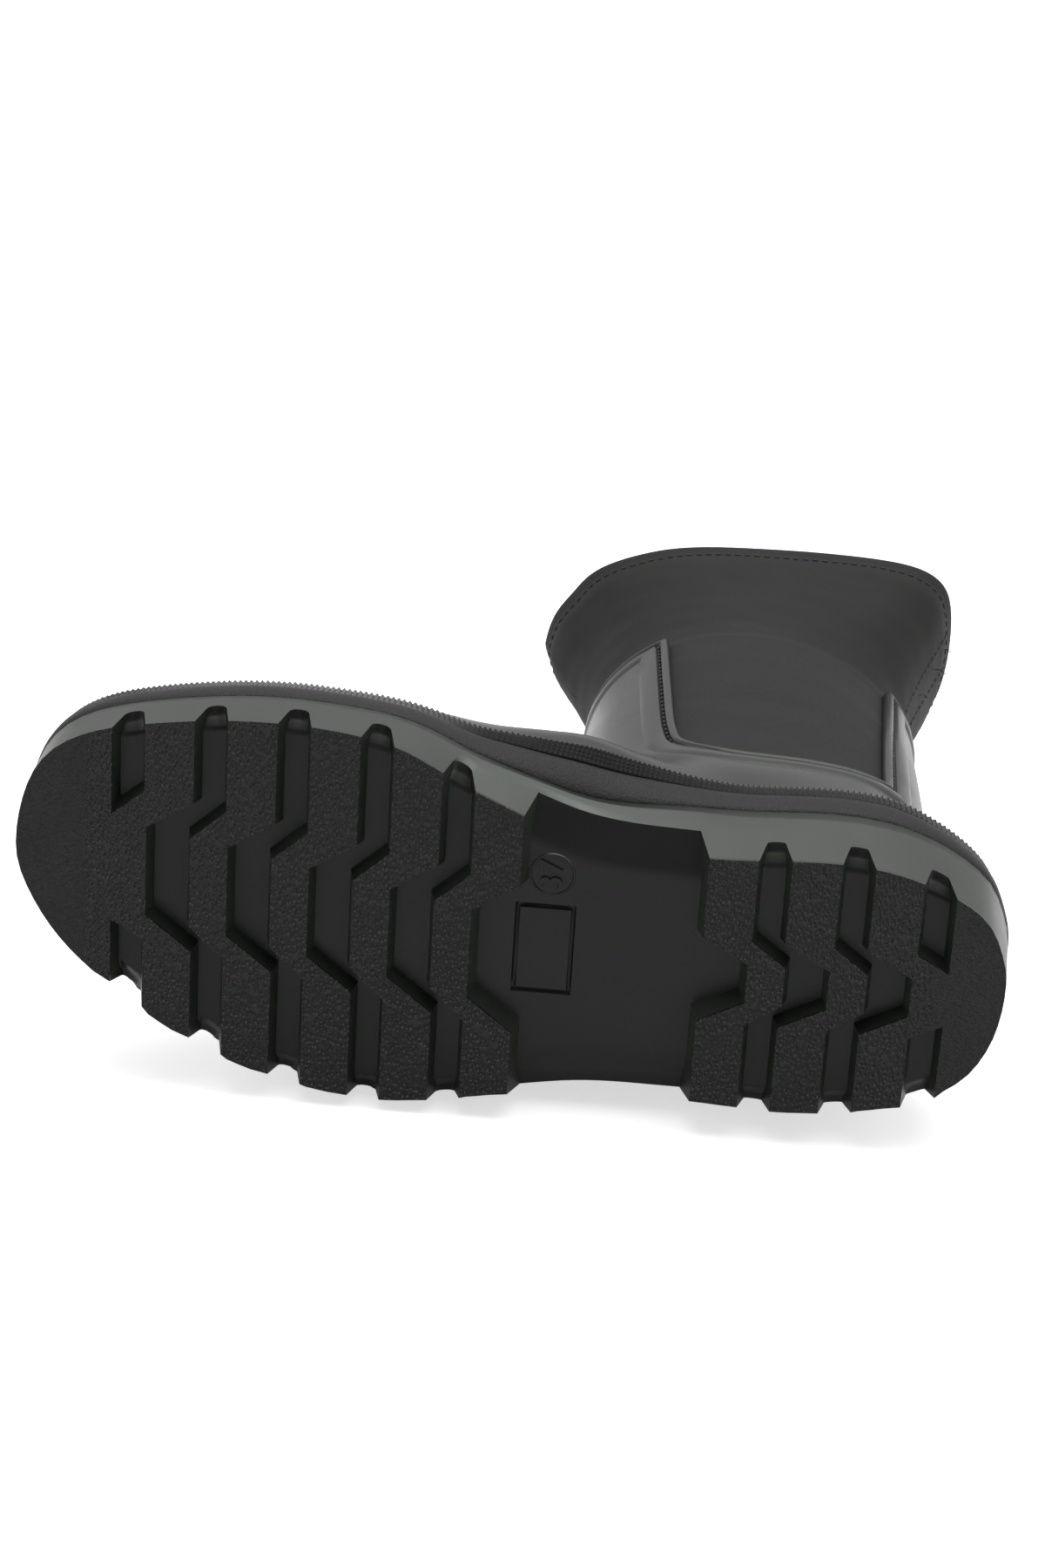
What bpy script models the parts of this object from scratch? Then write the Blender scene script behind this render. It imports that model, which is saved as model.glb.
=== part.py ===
"""Mid-height rain boot for the right foot: lug outsole, moulded rubber foot shell, fabric leg.

The boot stands on its tread. +Z is up, the toe points to -Y and the inner (medial) side is +X.
Everything is in metres. The loops of the sole and of the upper share one set of stations:
index 0 is the toe tip, STATIONS is the heel end, and the two sides run between them in pairs.
"""

import math

import bmesh
import bpy
import numpy as np
from mathutils import Vector
from mathutils.bvhtree import BVHTree

GAP = 0.0003  # clearance between pieces that touch
STATIONS = 20  # steps from toe to heel along each side
COLUMNS = 2 * STATIONS

# Tread
TREAD_LENGTH = 0.2667
BALL_WIDTH = 0.1056
HEEL_WIDTH = 0.0742
TOE_Y = -0.1377
BALL_SHARE = 0.29  # where the ball lies along the tread
LUG_PITCH = 0.0220
SIDE_GROOVE = 0.0089
MIDDLE_GROOVE = 0.0119
CHEVRON_SHIFT = 0.0110
GROOVE_DEPTH = 0.0060
FIRST_GROOVE = 0.0257  # toe tip to the first groove
CUTTER_FOOT = -0.005  # the tread's cutters start this far below it
FOREFOOT_GROOVES = 5
HEEL_BLOCK = 0.0813  # heel end to the breast of the heel
HEEL_LUG = 0.0130
HEEL_GROOVES = 3

# Sole body
FOREFOOT_HEIGHT = 0.0160
HEEL_HEIGHT = 0.0250
TOE_FLARE = 0.0004
BALL_FLARE = 0.0014
WAIST_FLARE = 0.0050
HEEL_FLARE = 0.0040
HEEL_END_FLARE = 0.0020
RAMP_BEFORE = 0.018  # the sidewall starts to rise this far before the waist
RAMP_AFTER = 0.012  # and ends this far behind the heel's breast
HEEL_FLARE_BLEND = 0.030  # length over which the waist's flare turns into the heel's
HEEL_END_BLEND = 0.035
RIM_WALL = 0.0075
CUP_DEPTH = 0.0060
WAIST_DEPTH = 0.0080
WAIST_FLOOR_WIDTH = 0.0600
WAIST_CHAMFER = math.radians(30)
PLATE_LENGTH = 0.0165  # over the groove that runs round the plate
PLATE_WIDTH = 0.0265
PLATE_CENTRE = 0.0005, 0.0070  # from the leg's centre and the start of the waist
PLATE_GROOVE, PLATE_GROOVE_DEPTH = 0.0014, 0.0012
RING_RADIUS = 0.0060
RING_CENTRE = 0.0225, 0.0082
RING_BAR, RING_RELIEF = 0.0008, 0.0008
RING_SEGMENTS = 24

# Foxing
BAND_HEIGHT = 0.0097
STRIP_HEIGHT = 0.0056
BAND_BULGE = 0.0008
STRIP_SETBACK = 0.0014
UPPER_INSET = 0.0058

# Upper
SHELL_WALL = 0.0025
REINFORCEMENT = 0.0012
FABRIC = 0.0016
LINING = 0.0011
ANKLE_HEIGHT = 0.066  # where the fabric starts, at the sides and the back
THROAT_HEIGHT = 0.122  # the same line at the front
TAB_TOP = 0.172
HEM_HEIGHT = 0.234
ANKLE_FRONT, ANKLE_BACK, ANKLE_HALF = 0.003, 0.1115, 0.0355
TAB_FRONT, TAB_BACK, TAB_HALF = 0.0075, 0.1140, 0.0405
HEM_FRONT, HEM_BACK, HEM_HALF = -0.0135, 0.1285, 0.0500
LEG_CENTRE = -0.0010
EGG = 0.06  # how much wider the leg is in front than behind
FRONT_FULLNESS = 2.0  # 2 is an ellipse, and more is squarer
ANKLE_FULLNESS, TAB_FULLNESS, HEM_FULLNESS = 3.4, 2.1, 2.8  # of the back half
ANKLE_FAN = 2.2
WALL_RISE = 0.42
THROAT_DROP = 0.46
FOOT_ROWS = 7
TAB_ROWS = 4
HEM_ROWS = 3
FACING_DEPTH = 0.022

# Side windows of the shell, where the fabric shows
COLLAR_HEIGHT = 0.0750
WINDOW_FRONT_TOP, WINDOW_FRONT_FOOT = 0.0300, 0.0350
WINDOW_BACK_TOP, WINDOW_BACK_FOOT = 0.1020, 0.0975
WINDOW_CORNER = 0.0180
WINDOW_OVERRUN = 0.010  # how far the cutter stands above the tabs

# Inside
BOARD = 0.0020
FOOTBED = 0.0040
SHANK_LENGTH, SHANK_WIDTH, SHANK_THICKNESS = 0.095, 0.016, 0.0014
PLUG_LENGTH, PLUG_WIDTH, PLUG_HEIGHT = 0.052, 0.042, 0.0070
TAPE_THICKNESS = 0.0006

# Thread
THREAD_RADIUS = 0.0004
THREAD_LIFT = 0.0013  # middle of a thread above the surface that it lies on
STITCH_MARGIN = 0.0040
HEM_MARGIN = 0.0060

# Plan of the tread: share of its length from the toe, share of the width named for that half.
FOREFOOT_MEDIAL = ((0.0202, 0.413), (0.0724, 0.516), (0.179, 0.570), (0.284, 0.580), (0.378, 0.543),
                   (0.461, 0.440))
HEEL_MEDIAL = ((0.573, 0.472), (0.694, 0.447), (0.826, 0.466), (0.906, 0.420), (0.969, 0.307), (0.995, 0.144))
FOREFOOT_LATERAL = ((0.0105, 0.087), (0.054, -0.080), (0.135, -0.248), (0.213, -0.355), (0.294, -0.417),
                    (0.378, -0.440), (0.461, -0.412))
HEEL_LATERAL = ((0.573, -0.519), (0.694, -0.522), (0.798, -0.534), (0.904, -0.472), (0.962, -0.360),
                (0.990, -0.205))
TOE_TIP, HEEL_END = 0.229, -0.014

# Knees of the chevrons, as x at the middle of each half of the tread
FOREFOOT_KNEES = (0.0312, 0.0210, -0.0048, -0.0121)
FOREFOOT_KNEE_SLOPE = -0.185
FOREFOOT_KNEE_Y = -0.060
HEEL_KNEES = (0.0103, 0.0033, -0.0080, -0.0145)

COLOURS = {
    "rubber": ((0.012, 0.013, 0.012), 0.45),
    "shell": ((0.030, 0.033, 0.031), 0.32),
    "band": ((0.016, 0.017, 0.016), 0.60),
    "strip": ((0.010, 0.010, 0.010), 0.55),
    "fabric": ((0.040, 0.040, 0.038), 0.85),
    "lining": ((0.022, 0.022, 0.024), 0.92),
    "foam": ((0.090, 0.088, 0.082), 0.90),
    "board": ((0.300, 0.240, 0.160), 0.85),
    "steel": ((0.550, 0.550, 0.560), 0.35),
    "thread": ((0.012, 0.012, 0.012), 0.75),
}


def clear_scene():
    for obj in list(bpy.data.objects):
        bpy.data.objects.remove(obj, do_unlink=True)


def make_collection(name, hidden=False):
    collection = bpy.data.collections.new(name)
    collection.hide_render = hidden
    bpy.context.scene.collection.children.link(collection)
    return collection


def material(name):
    found = bpy.data.materials.get(name)
    if found:
        return found
    colour, roughness = COLOURS[name]
    made = bpy.data.materials.new(name)
    made.use_nodes = True
    shader = made.node_tree.nodes["Principled BSDF"]
    shader.inputs["Base Color"].default_value = (*colour, 1.0)
    shader.inputs["Roughness"].default_value = roughness
    shader.inputs["Metallic"].default_value = 1.0 if name == "steel" else 0.0
    return made


def ease(share):
    share = min(max(share, 0.0), 1.0)
    return share * share * (3.0 - 2.0 * share)


def blend(low, high, share):
    return low + (high - low) * share


# ---- plan of the sole ----


def heel_end_y():
    return TOE_Y + TREAD_LENGTH


def heel_breast_y():
    return heel_end_y() - HEEL_BLOCK


def waist_start_y():
    return TOE_Y + FIRST_GROOVE + FOREFOOT_GROOVES * LUG_PITCH


def sole_height(y):
    """Height of the sidewall's top edge: low at the forefoot, rising through the waist."""
    start = waist_start_y() - RAMP_BEFORE
    return blend(FOREFOOT_HEIGHT, HEEL_HEIGHT, ease((y - start) / (heel_breast_y() + RAMP_AFTER - start)))


def flare(y):
    """How far the sidewall's top edge stands out past the tread."""
    ball_y = TOE_Y + BALL_SHARE * TREAD_LENGTH
    forefoot = blend(TOE_FLARE, BALL_FLARE, ease((y - TOE_Y) / (ball_y - TOE_Y)))
    waist = blend(forefoot, WAIST_FLARE, ease((y - ball_y) / (waist_start_y() + RAMP_AFTER - ball_y)))
    heel = blend(HEEL_FLARE, HEEL_END_FLARE, ease((y - heel_end_y() + HEEL_END_BLEND) / HEEL_END_BLEND))
    return blend(waist, heel, ease((y - heel_breast_y()) / HEEL_FLARE_BLEND + 0.5))


def through(points, steps=12):
    """Points along an open curve through these ones, as a Catmull-Rom spline."""
    points = np.array(points)
    ends = np.vstack([2 * points[0] - points[1], points, 2 * points[-1] - points[-2]])
    found = []
    for a, b, c, d in zip(ends, ends[1:], ends[2:], ends[3:]):
        for step in range(steps):
            t = step / steps
            found.append(0.5 * (2 * b + (c - a) * t + (2 * a - 5 * b + 4 * c - d) * t**2
                                + (3 * b - a - 3 * c + d) * t**3))
    found.append(points[-1])
    return np.array(found)


def tread_side(forefoot, heel):
    """One side of the tread from toe tip to heel end, as (x, y)."""
    other = FOREFOOT_LATERAL if forefoot is FOREFOOT_MEDIAL else FOREFOOT_MEDIAL
    mirror = HEEL_LATERAL if heel is HEEL_MEDIAL else HEEL_MEDIAL
    shares = [(*other[0], BALL_WIDTH), (0.0, TOE_TIP, BALL_WIDTH)]
    shares += [(along, across, BALL_WIDTH) for along, across in forefoot]
    shares += [(along, across, HEEL_WIDTH) for along, across in heel]
    shares += [(1.0, HEEL_END, HEEL_WIDTH), (*mirror[-1], HEEL_WIDTH)]
    points = through([(across * width, TOE_Y + along * TREAD_LENGTH) for along, across, width in shares])
    toe, end = int(np.argmin(points[:, 1])), int(np.argmax(points[:, 1]))
    return points[toe : end + 1]


def tread_loop():
    """The tread's outline as COLUMNS points: toe tip, medial side, heel end, lateral side."""
    medial = tread_side(FOREFOOT_MEDIAL, HEEL_MEDIAL)
    lateral = tread_side(FOREFOOT_LATERAL, HEEL_LATERAL)
    low, high = medial[0, 1], medial[-1, 1]
    levels = [blend(low, high, (1 - math.cos(math.pi * k / STATIONS)) / 2) for k in range(STATIONS + 1)]
    right = [(np.interp(y, medial[:, 1], medial[:, 0]), y) for y in levels]
    left = [(np.interp(y, lateral[:, 1], lateral[:, 0]), y) for y in levels[1:-1]]
    return np.array(right + left[::-1])


def plan_normals(loop):
    along = np.roll(loop, -1, axis=0) - np.roll(loop, 1, axis=0)
    normals = np.stack([along[:, 1], -along[:, 0]], axis=1)
    return normals / np.linalg.norm(normals, axis=1)[:, None]


TREAD = tread_loop()
NORMALS = plan_normals(TREAD)
RIM = TREAD + NORMALS * np.array([[flare(y)] for _, y in TREAD])
HEIGHTS = np.array([sole_height(y) for _, y in TREAD])


def level(outset, above, base=RIM, heights=HEIGHTS):
    """A loop at this distance outside the rim and this height above the sidewall's top."""
    plan = base + NORMALS * outset
    return np.column_stack([plan, heights + above])


def flat(loop, z):
    return np.column_stack([loop, np.full(len(loop), z)])


# ---- surface of the upper ----


def oval(z, angle, side):
    """A point of the leg's outer surface at this height; angle runs from 0 in front to pi behind."""
    low = ease((z - ANKLE_HEIGHT) / (TAB_TOP - ANKLE_HEIGHT))
    top = ease((z - TAB_TOP) / (HEM_HEIGHT - TAB_TOP)) if z > TAB_TOP else 0.0
    front = blend(blend(ANKLE_FRONT, TAB_FRONT, low), HEM_FRONT, top)
    back = blend(blend(ANKLE_BACK, TAB_BACK, low), HEM_BACK, top)
    half = blend(blend(ANKLE_HALF, TAB_HALF, low), HEM_HALF, top)
    behind = blend(blend(ANKLE_FULLNESS, TAB_FULLNESS, low), HEM_FULLNESS, top)
    power = 2 / (FRONT_FULLNESS if angle < math.pi / 2 else behind)
    across = abs(math.sin(angle)) ** power * (1 + EGG * math.cos(angle))
    along = math.copysign(abs(math.cos(angle)) ** power, math.cos(angle))
    return np.array([LEG_CENTRE + side * half * across, (front + back) / 2 - (back - front) / 2 * along, z])


def fan_angles():
    """For each column, where it meets the leg's oval, and its side."""
    wall = RIM - NORMALS * UPPER_INSET
    found = [None] * COLUMNS
    for side in (1, -1):
        order = [(side * k) % COLUMNS for k in range(STATIONS + 1)]
        steps = np.linalg.norm(np.diff(wall[order], axis=0), axis=1)
        share = np.concatenate([[0.0], np.cumsum(steps) / steps.sum()])
        for column, t in zip(order, share):
            found[column] = (math.pi * t**ANKLE_FAN, side)
    return found


def seam_height(angle):
    """Height of the line where the fabric starts: low round the sides, high in front."""
    return blend(ANKLE_HEIGHT, THROAT_HEIGHT, ((1 + math.cos(angle)) / 2) ** 5)


def bezier(a, b, c, d, t):
    return (1 - t) ** 3 * a + 3 * (1 - t) ** 2 * t * b + 3 * (1 - t) * t**2 * c + t**3 * d


def upper_column(foot, angle, side):
    """One column of the upper's outer surface, from the sole's edge up to the hem."""
    seam = seam_height(angle)
    top = oval(seam, angle, side)
    lean = oval(seam + 0.004, angle, side) - top
    lean /= np.linalg.norm(lean)
    wall = foot + np.array([0, 0, BAND_HEIGHT + STRIP_HEIGHT + 3 * GAP])
    rise = top[2] - wall[2]
    start = wall + np.array([0, 0, WALL_RISE * rise])
    end = top - lean * THROAT_DROP * rise
    points = [foot] + [bezier(wall, start, end, top, k / FOOT_ROWS) for k in range(FOOT_ROWS + 1)]
    points += [oval(blend(seam, TAB_TOP, k / TAB_ROWS), angle, side) for k in range(1, TAB_ROWS + 1)]
    points += [oval(blend(TAB_TOP, HEM_HEIGHT, k / HEM_ROWS), angle, side) for k in range(1, HEM_ROWS + 1)]
    return points


SEAM_ROW = FOOT_ROWS + 1
TAB_ROW = SEAM_ROW + TAB_ROWS
HEM_ROW = TAB_ROW + HEM_ROWS


def upper_surface():
    """The grid of the upper's outer surface and its outward normals, as [row, column, xyz]."""
    feet = level(-UPPER_INSET, GAP)
    columns = [upper_column(foot, angle, side) for foot, (angle, side) in zip(feet, fan_angles())]
    grid = np.array(columns).transpose(1, 0, 2)
    around = np.roll(grid, -1, axis=1) - np.roll(grid, 1, axis=1)
    upward = np.empty_like(grid)
    upward[1:-1] = grid[2:] - grid[:-2]
    upward[0], upward[-1] = grid[1] - grid[0], grid[-1] - grid[-2]
    normals = np.cross(around, upward)
    return grid, normals / np.linalg.norm(normals, axis=2)[:, :, None]


GRID, OUTWARD = upper_surface()


def skin(row, outset):
    """A loop of the upper at a row, which may lie between two rows, and a distance outside it."""
    low = min(int(row), len(GRID) - 2)
    share = row - low
    points = GRID + OUTWARD * outset
    return blend(points[low], points[low + 1], share)


# ---- meshes ----


def add_object(name, mesh, collection, slot):
    obj = bpy.data.objects.new(name, mesh)
    collection.objects.link(obj)
    if slot:
        mesh.materials.append(material(slot))
    return obj


def cap(build, loop, up):
    """Closes a loop with strips between its two sides, so that it can follow a curved floor."""
    for k in range(STATIONS):
        corners = [loop[k], loop[k + 1], loop[(COLUMNS - k - 1) % COLUMNS], loop[(COLUMNS - k) % COLUMNS]]
        corners = [v for n, v in enumerate(corners) if v not in corners[:n]]
        build.faces.new(corners if up else corners[::-1])


def loft(name, loops, collection, slot, ring=False):
    """A closed solid through these loops: a ring where the last loop joins the first, or capped."""
    build = bmesh.new()
    rows = [[build.verts.new(point) for point in loop] for loop in loops]
    pairs = list(zip(rows, rows[1:])) + ([(rows[-1], rows[0])] if ring else [])
    for first, second in pairs:
        low, high = sorted((first, second), key=lambda row: sum(v.co.z for v in row))
        for k in range(COLUMNS):
            n = (k + 1) % COLUMNS
            build.faces.new((low[k], low[n], high[n], high[k]))
    if not ring:
        cap(build, rows[0], False)
        cap(build, rows[-1], True)
    return finish(name, build, collection, slot)


def patch(name, rows, columns, outset, thickness, collection, slot):
    """A closed sheet over part of the upper: rows and columns of the grid, at this outset."""
    build = bmesh.new()
    outer = [[build.verts.new(skin(row, outset)[c]) for c in columns] for row in rows]
    inner = [[build.verts.new(skin(row, outset - thickness)[c]) for c in columns] for row in rows]
    for grid, flip in ((outer, False), (inner, True)):
        for low, high in zip(grid, grid[1:]):
            for k in range(len(columns) - 1):
                corners = [low[k], low[k + 1], high[k + 1], high[k]]
                build.faces.new(corners[::-1] if flip else corners)
    border = [(outer[0], inner[0]), (inner[-1], outer[-1])]
    border.append(([row[-1] for row in outer], [row[-1] for row in inner]))
    border.append(([row[0] for row in inner], [row[0] for row in outer]))
    for first, second in border:
        for k in range(len(first) - 1):
            build.faces.new((first[k + 1], first[k], second[k], second[k + 1]))
    return finish(name, build, collection, slot)


def finish(name, build, collection, slot):
    # Every wall is split along the same diagonal, so that neighbours stay parallel.
    quads = [face for face in build.faces if len(face.verts) == 4]
    bmesh.ops.triangulate(build, faces=quads, quad_method="FIXED")
    bmesh.ops.recalc_face_normals(build, faces=build.faces)
    mesh = bpy.data.meshes.new(name)
    build.to_mesh(mesh)
    build.free()
    return add_object(name, mesh, collection, slot)


def prism(name, outline, low, high, collection, slot=None, axis="Z"):
    """A flat outline extruded from low to high along Z, or along X or Y."""
    build = bmesh.new()
    along = "XYZ".index(axis)
    points = [Vector(np.insert(point, along, low)) for point in outline]
    face = build.faces.new([build.verts.new(point) for point in points])
    step = Vector(np.insert((0.0, 0.0), along, high - low))
    grown = bmesh.ops.extrude_face_region(build, geom=[face])["geom"]
    bmesh.ops.translate(build, vec=step, verts=[v for v in grown if isinstance(v, bmesh.types.BMVert)])
    return finish(name, build, collection, slot)


def boolean(target, other, operation):
    modifier = target.modifiers.new(other.name, "BOOLEAN")
    modifier.operation = operation
    modifier.solver = "EXACT"
    modifier.object = other


def cut(target, cutter):
    cutter.hide_render = True
    cutter.display_type = "WIRE"
    boolean(target, cutter, "DIFFERENCE")


# ---- outsole ----


def knee_lines(in_heel):
    """x of the four knee lines as functions of y, from the medial side to the lateral side."""
    if in_heel:
        return [lambda y, x=x: x for x in HEEL_KNEES]
    return [lambda y, x=x: x + FOREFOOT_KNEE_SLOPE * (y - FOREFOOT_KNEE_Y) for x in FOREFOOT_KNEES]


def edge_path(side_y, middle_y, in_heel):
    """One transverse edge of the pattern, from past the medial side to past the lateral side."""
    knees = knee_lines(in_heel)
    past = BALL_WIDTH
    return [(past, side_y), (knees[0](side_y), side_y), (knees[1](middle_y), middle_y),
            (knees[2](middle_y), middle_y), (knees[3](side_y), side_y), (-past, side_y)]


def groove(name, front, in_heel, cutters):
    """A chevron groove whose side stretches start at this y."""
    shift = CHEVRON_SHIFT if in_heel else -CHEVRON_SHIFT
    spare = (MIDDLE_GROOVE - SIDE_GROOVE) / 2
    near = edge_path(front, front + shift - spare, in_heel)
    far = edge_path(front + SIDE_GROOVE, front + SIDE_GROOVE + shift + spare, in_heel)
    return prism(name, near + far[::-1], CUTTER_FOOT, GROOVE_DEPTH, cutters)


def notch(name, front, knee, outward, cutters):
    """A groove that only enters the block from one side."""
    outline = [(knee, front), (knee, front + SIDE_GROOVE), (outward, front + SIDE_GROOVE), (outward, front)]
    return prism(name, outline, CUTTER_FOOT, GROOVE_DEPTH, cutters)


def tread_cutters(cutters):
    made = []
    first = TOE_Y + FIRST_GROOVE
    knees = [line(first) for line in knee_lines(False)]
    made.append(notch("toe_notch_medial", first, knees[0], BALL_WIDTH, cutters))
    made.append(notch("toe_notch_lateral", first, knees[3], -BALL_WIDTH, cutters))
    for k in range(1, FOREFOOT_GROOVES):
        made.append(groove(f"forefoot_groove_{k}", first + k * LUG_PITCH, False, cutters))
    lug_end = heel_breast_y() + HEEL_LUG
    for k in range(HEEL_GROOVES - 1):
        made.append(groove(f"heel_groove_{k + 1}", lug_end + k * LUG_PITCH, True, cutters))
    last = lug_end + (HEEL_GROOVES - 1) * LUG_PITCH
    made.append(notch("heel_notch_medial", last, HEEL_KNEES[0], BALL_WIDTH, cutters))
    made.append(notch("heel_notch_lateral", last, HEEL_KNEES[3], -BALL_WIDTH, cutters))
    return made


def waist_cutters(cutters):
    """The arch between forefoot and heel: a recess with sloping edges."""
    start, end = waist_start_y(), heel_breast_y()
    outline = edge_path(start, start - CHEVRON_SHIFT - (MIDDLE_GROOVE - SIDE_GROOVE) / 2, False)
    outline += edge_path(end, end + CHEVRON_SHIFT + (MIDDLE_GROOVE - SIDE_GROOVE) / 2, True)[::-1]
    made = [prism("waist_recess", outline, CUTTER_FOOT, WAIST_DEPTH, cutters)]
    for side in (1, -1):
        inner, outer = side * WAIST_FLOOR_WIDTH / 2 + LEG_CENTRE, side * BALL_WIDTH
        rise = abs(outer - inner) * math.tan(WAIST_CHAMFER)
        slope = [(inner, CUTTER_FOOT), (outer, CUTTER_FOOT), (outer, WAIST_DEPTH + rise),
                 (inner, WAIST_DEPTH)]
        made.append(prism(f"waist_slope_{side}", slope, start, end, cutters, axis="Y"))
    return made


def on_waist(centre):
    return LEG_CENTRE + centre[0], waist_start_y() + centre[1]


def plate_groove(cutters):
    """The groove round the plain plate on the waist's floor."""
    x, y = on_waist(PLATE_CENTRE)
    rings = []
    for margin in (0.0, PLATE_GROOVE):
        half_x, half_y = PLATE_WIDTH / 2 - margin, PLATE_LENGTH / 2 - margin
        rings.append([(x + sx * half_x, y + sy * half_y) for sx, sy in ((-1, -1), (1, -1), (1, 1), (-1, 1))])
    outside, inside = rings
    top = WAIST_DEPTH + PLATE_GROOVE_DEPTH
    groove_ring = prism("plate_groove", outside, WAIST_DEPTH - 0.001, top, cutters)
    cut(groove_ring, prism("plate", inside, WAIST_DEPTH - 0.002, top + 0.001, cutters))
    return groove_ring


def disc(name, radius, low, high, cutters):
    build = bmesh.new()
    bmesh.ops.create_cone(build, cap_ends=True, segments=RING_SEGMENTS, radius1=radius, radius2=radius,
                          depth=high - low)
    x, y = on_waist(RING_CENTRE)
    bmesh.ops.translate(build, verts=build.verts, vec=(x, y, (low + high) / 2))
    return finish(name, build, cutters, None)


def size_ring(cutters):
    """The raised ring of the size mark, which sinks into the sole."""
    low = WAIST_DEPTH - RING_RELIEF
    ring = disc("size_ring", RING_RADIUS, low, WAIST_DEPTH + 0.001, cutters)
    cut(ring, disc("size_ring_hole", RING_RADIUS - RING_BAR, low - 0.001, WAIST_DEPTH + 0.0004, cutters))
    ring.hide_render = True
    ring.display_type = "WIRE"
    return ring


def plug_box(name, clearance, top, collection, slot=None):
    """The block of the heel plug, or its pocket when a clearance is given."""
    y = (heel_breast_y() + heel_end_y()) / 2
    half_x, half_y = PLUG_WIDTH / 2 + clearance, PLUG_LENGTH / 2 + clearance
    x = LEG_CENTRE
    corner = 0.012 + clearance
    outline = []
    for turn, (cx, cy) in enumerate(((1, 1), (-1, 1), (-1, -1), (1, -1))):
        for k in range(5):
            a = math.pi / 2 * (turn + k / 4)
            outline.append((x + cx * (half_x - corner) + corner * math.cos(a),
                            y + cy * (half_y - corner) + corner * math.sin(a)))
    floor = HEEL_HEIGHT - CUP_DEPTH - PLUG_HEIGHT - clearance
    return prism(name, outline, floor, top, collection, slot)


def make_outsole(parts, cutters):
    """A cup with lugs below, a sidewall and a rim that carries the foxing."""
    inner = level(-RIM_WALL, 0.0)
    floor = level(-RIM_WALL, -CUP_DEPTH)
    outsole = loft("outsole", [flat(TREAD, 0.0), level(0.0, 0.0), inner, floor], parts, "rubber")
    for cutter in [*tread_cutters(cutters), *waist_cutters(cutters), plate_groove(cutters)]:
        cut(outsole, cutter)
    cut(outsole, plug_box("plug_pocket", GAP, HEEL_HEIGHT, cutters))
    boolean(outsole, size_ring(cutters), "UNION")


# ---- inside the sole ----


def shank_loops(clearance, top):
    """Cross-sections of the shank, along the stations that it spans."""
    middle = (waist_start_y() + heel_breast_y()) / 2
    reach = SHANK_LENGTH / 2 + clearance
    stations = TREAD[: STATIONS + 1, 1]
    ys = [middle - reach, *[y for y in stations if abs(y - middle) < reach - 0.002], middle + reach]
    heights = np.interp(ys, stations, HEIGHTS[: STATIONS + 1])
    half = SHANK_WIDTH / 2 + clearance
    loops = []
    for y, height in zip(ys, heights):
        low = height - GAP - SHANK_THICKNESS - clearance
        high = height - GAP + top
        corners = ((-half, low), (half, low), (half, high), (-half, high))
        loops.append([(LEG_CENTRE + x, y, z) for x, z in corners])
    return loops


def bar(name, loops, collection, slot):
    """A solid through square sections."""
    build = bmesh.new()
    rows = [[build.verts.new(point) for point in loop] for loop in loops]
    for low, high in zip(rows, rows[1:]):
        for k in range(4):
            n = (k + 1) % 4
            build.faces.new((low[k], low[n], high[n], high[k]))
    build.faces.new(rows[0])
    build.faces.new(rows[-1])
    return finish(name, build, collection, slot)


def make_sole_core(parts, cutters):
    top = -GAP
    outset = -RIM_WALL - GAP
    filler = loft("sole_filler", [level(outset, -CUP_DEPTH + GAP), level(outset, top)], parts, "foam")
    cut(filler, bar("shank_pocket", shank_loops(GAP, 0.003), cutters, None))
    bar("shank", shank_loops(0.0, 0.0), parts, "steel")
    plug_box("heel_plug", 0.0, HEEL_HEIGHT - CUP_DEPTH - GAP, parts, "foam")


def make_insole(parts):
    inset = -UPPER_INSET - SHELL_WALL - GAP
    loft("insole_board", [level(inset, GAP), level(inset, GAP + BOARD)], parts, "board")
    base = lining_floor() + LINING + GAP
    inset -= REINFORCEMENT + 2 * GAP + LINING
    loft("footbed", [level(inset, base), level(inset, base + FOOTBED)], parts, "foam")


def lining_floor():
    """Underside of the lining, above the sidewall's top."""
    return 2 * GAP + BOARD


# ---- upper ----


def make_foxing(parts):
    """The grained band on the sidewall, and the knurled strip above it."""
    inner = -UPPER_INSET + GAP
    low, high = GAP, GAP + BAND_HEIGHT
    band = [level(0.0, low), level(BAND_BULGE, (low + high) / 2), level(-STRIP_SETBACK + GAP, high),
            level(inner, high), level(inner, low)]
    loft("foxing_band", band, parts, "band", ring=True)
    low, high = high + GAP, high + GAP + STRIP_HEIGHT
    strip = [level(-STRIP_SETBACK, low), level(-2 * STRIP_SETBACK, high),
             level(inner, high), level(inner, low)]
    loft("knurled_strip", strip, parts, "strip", ring=True)


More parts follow.
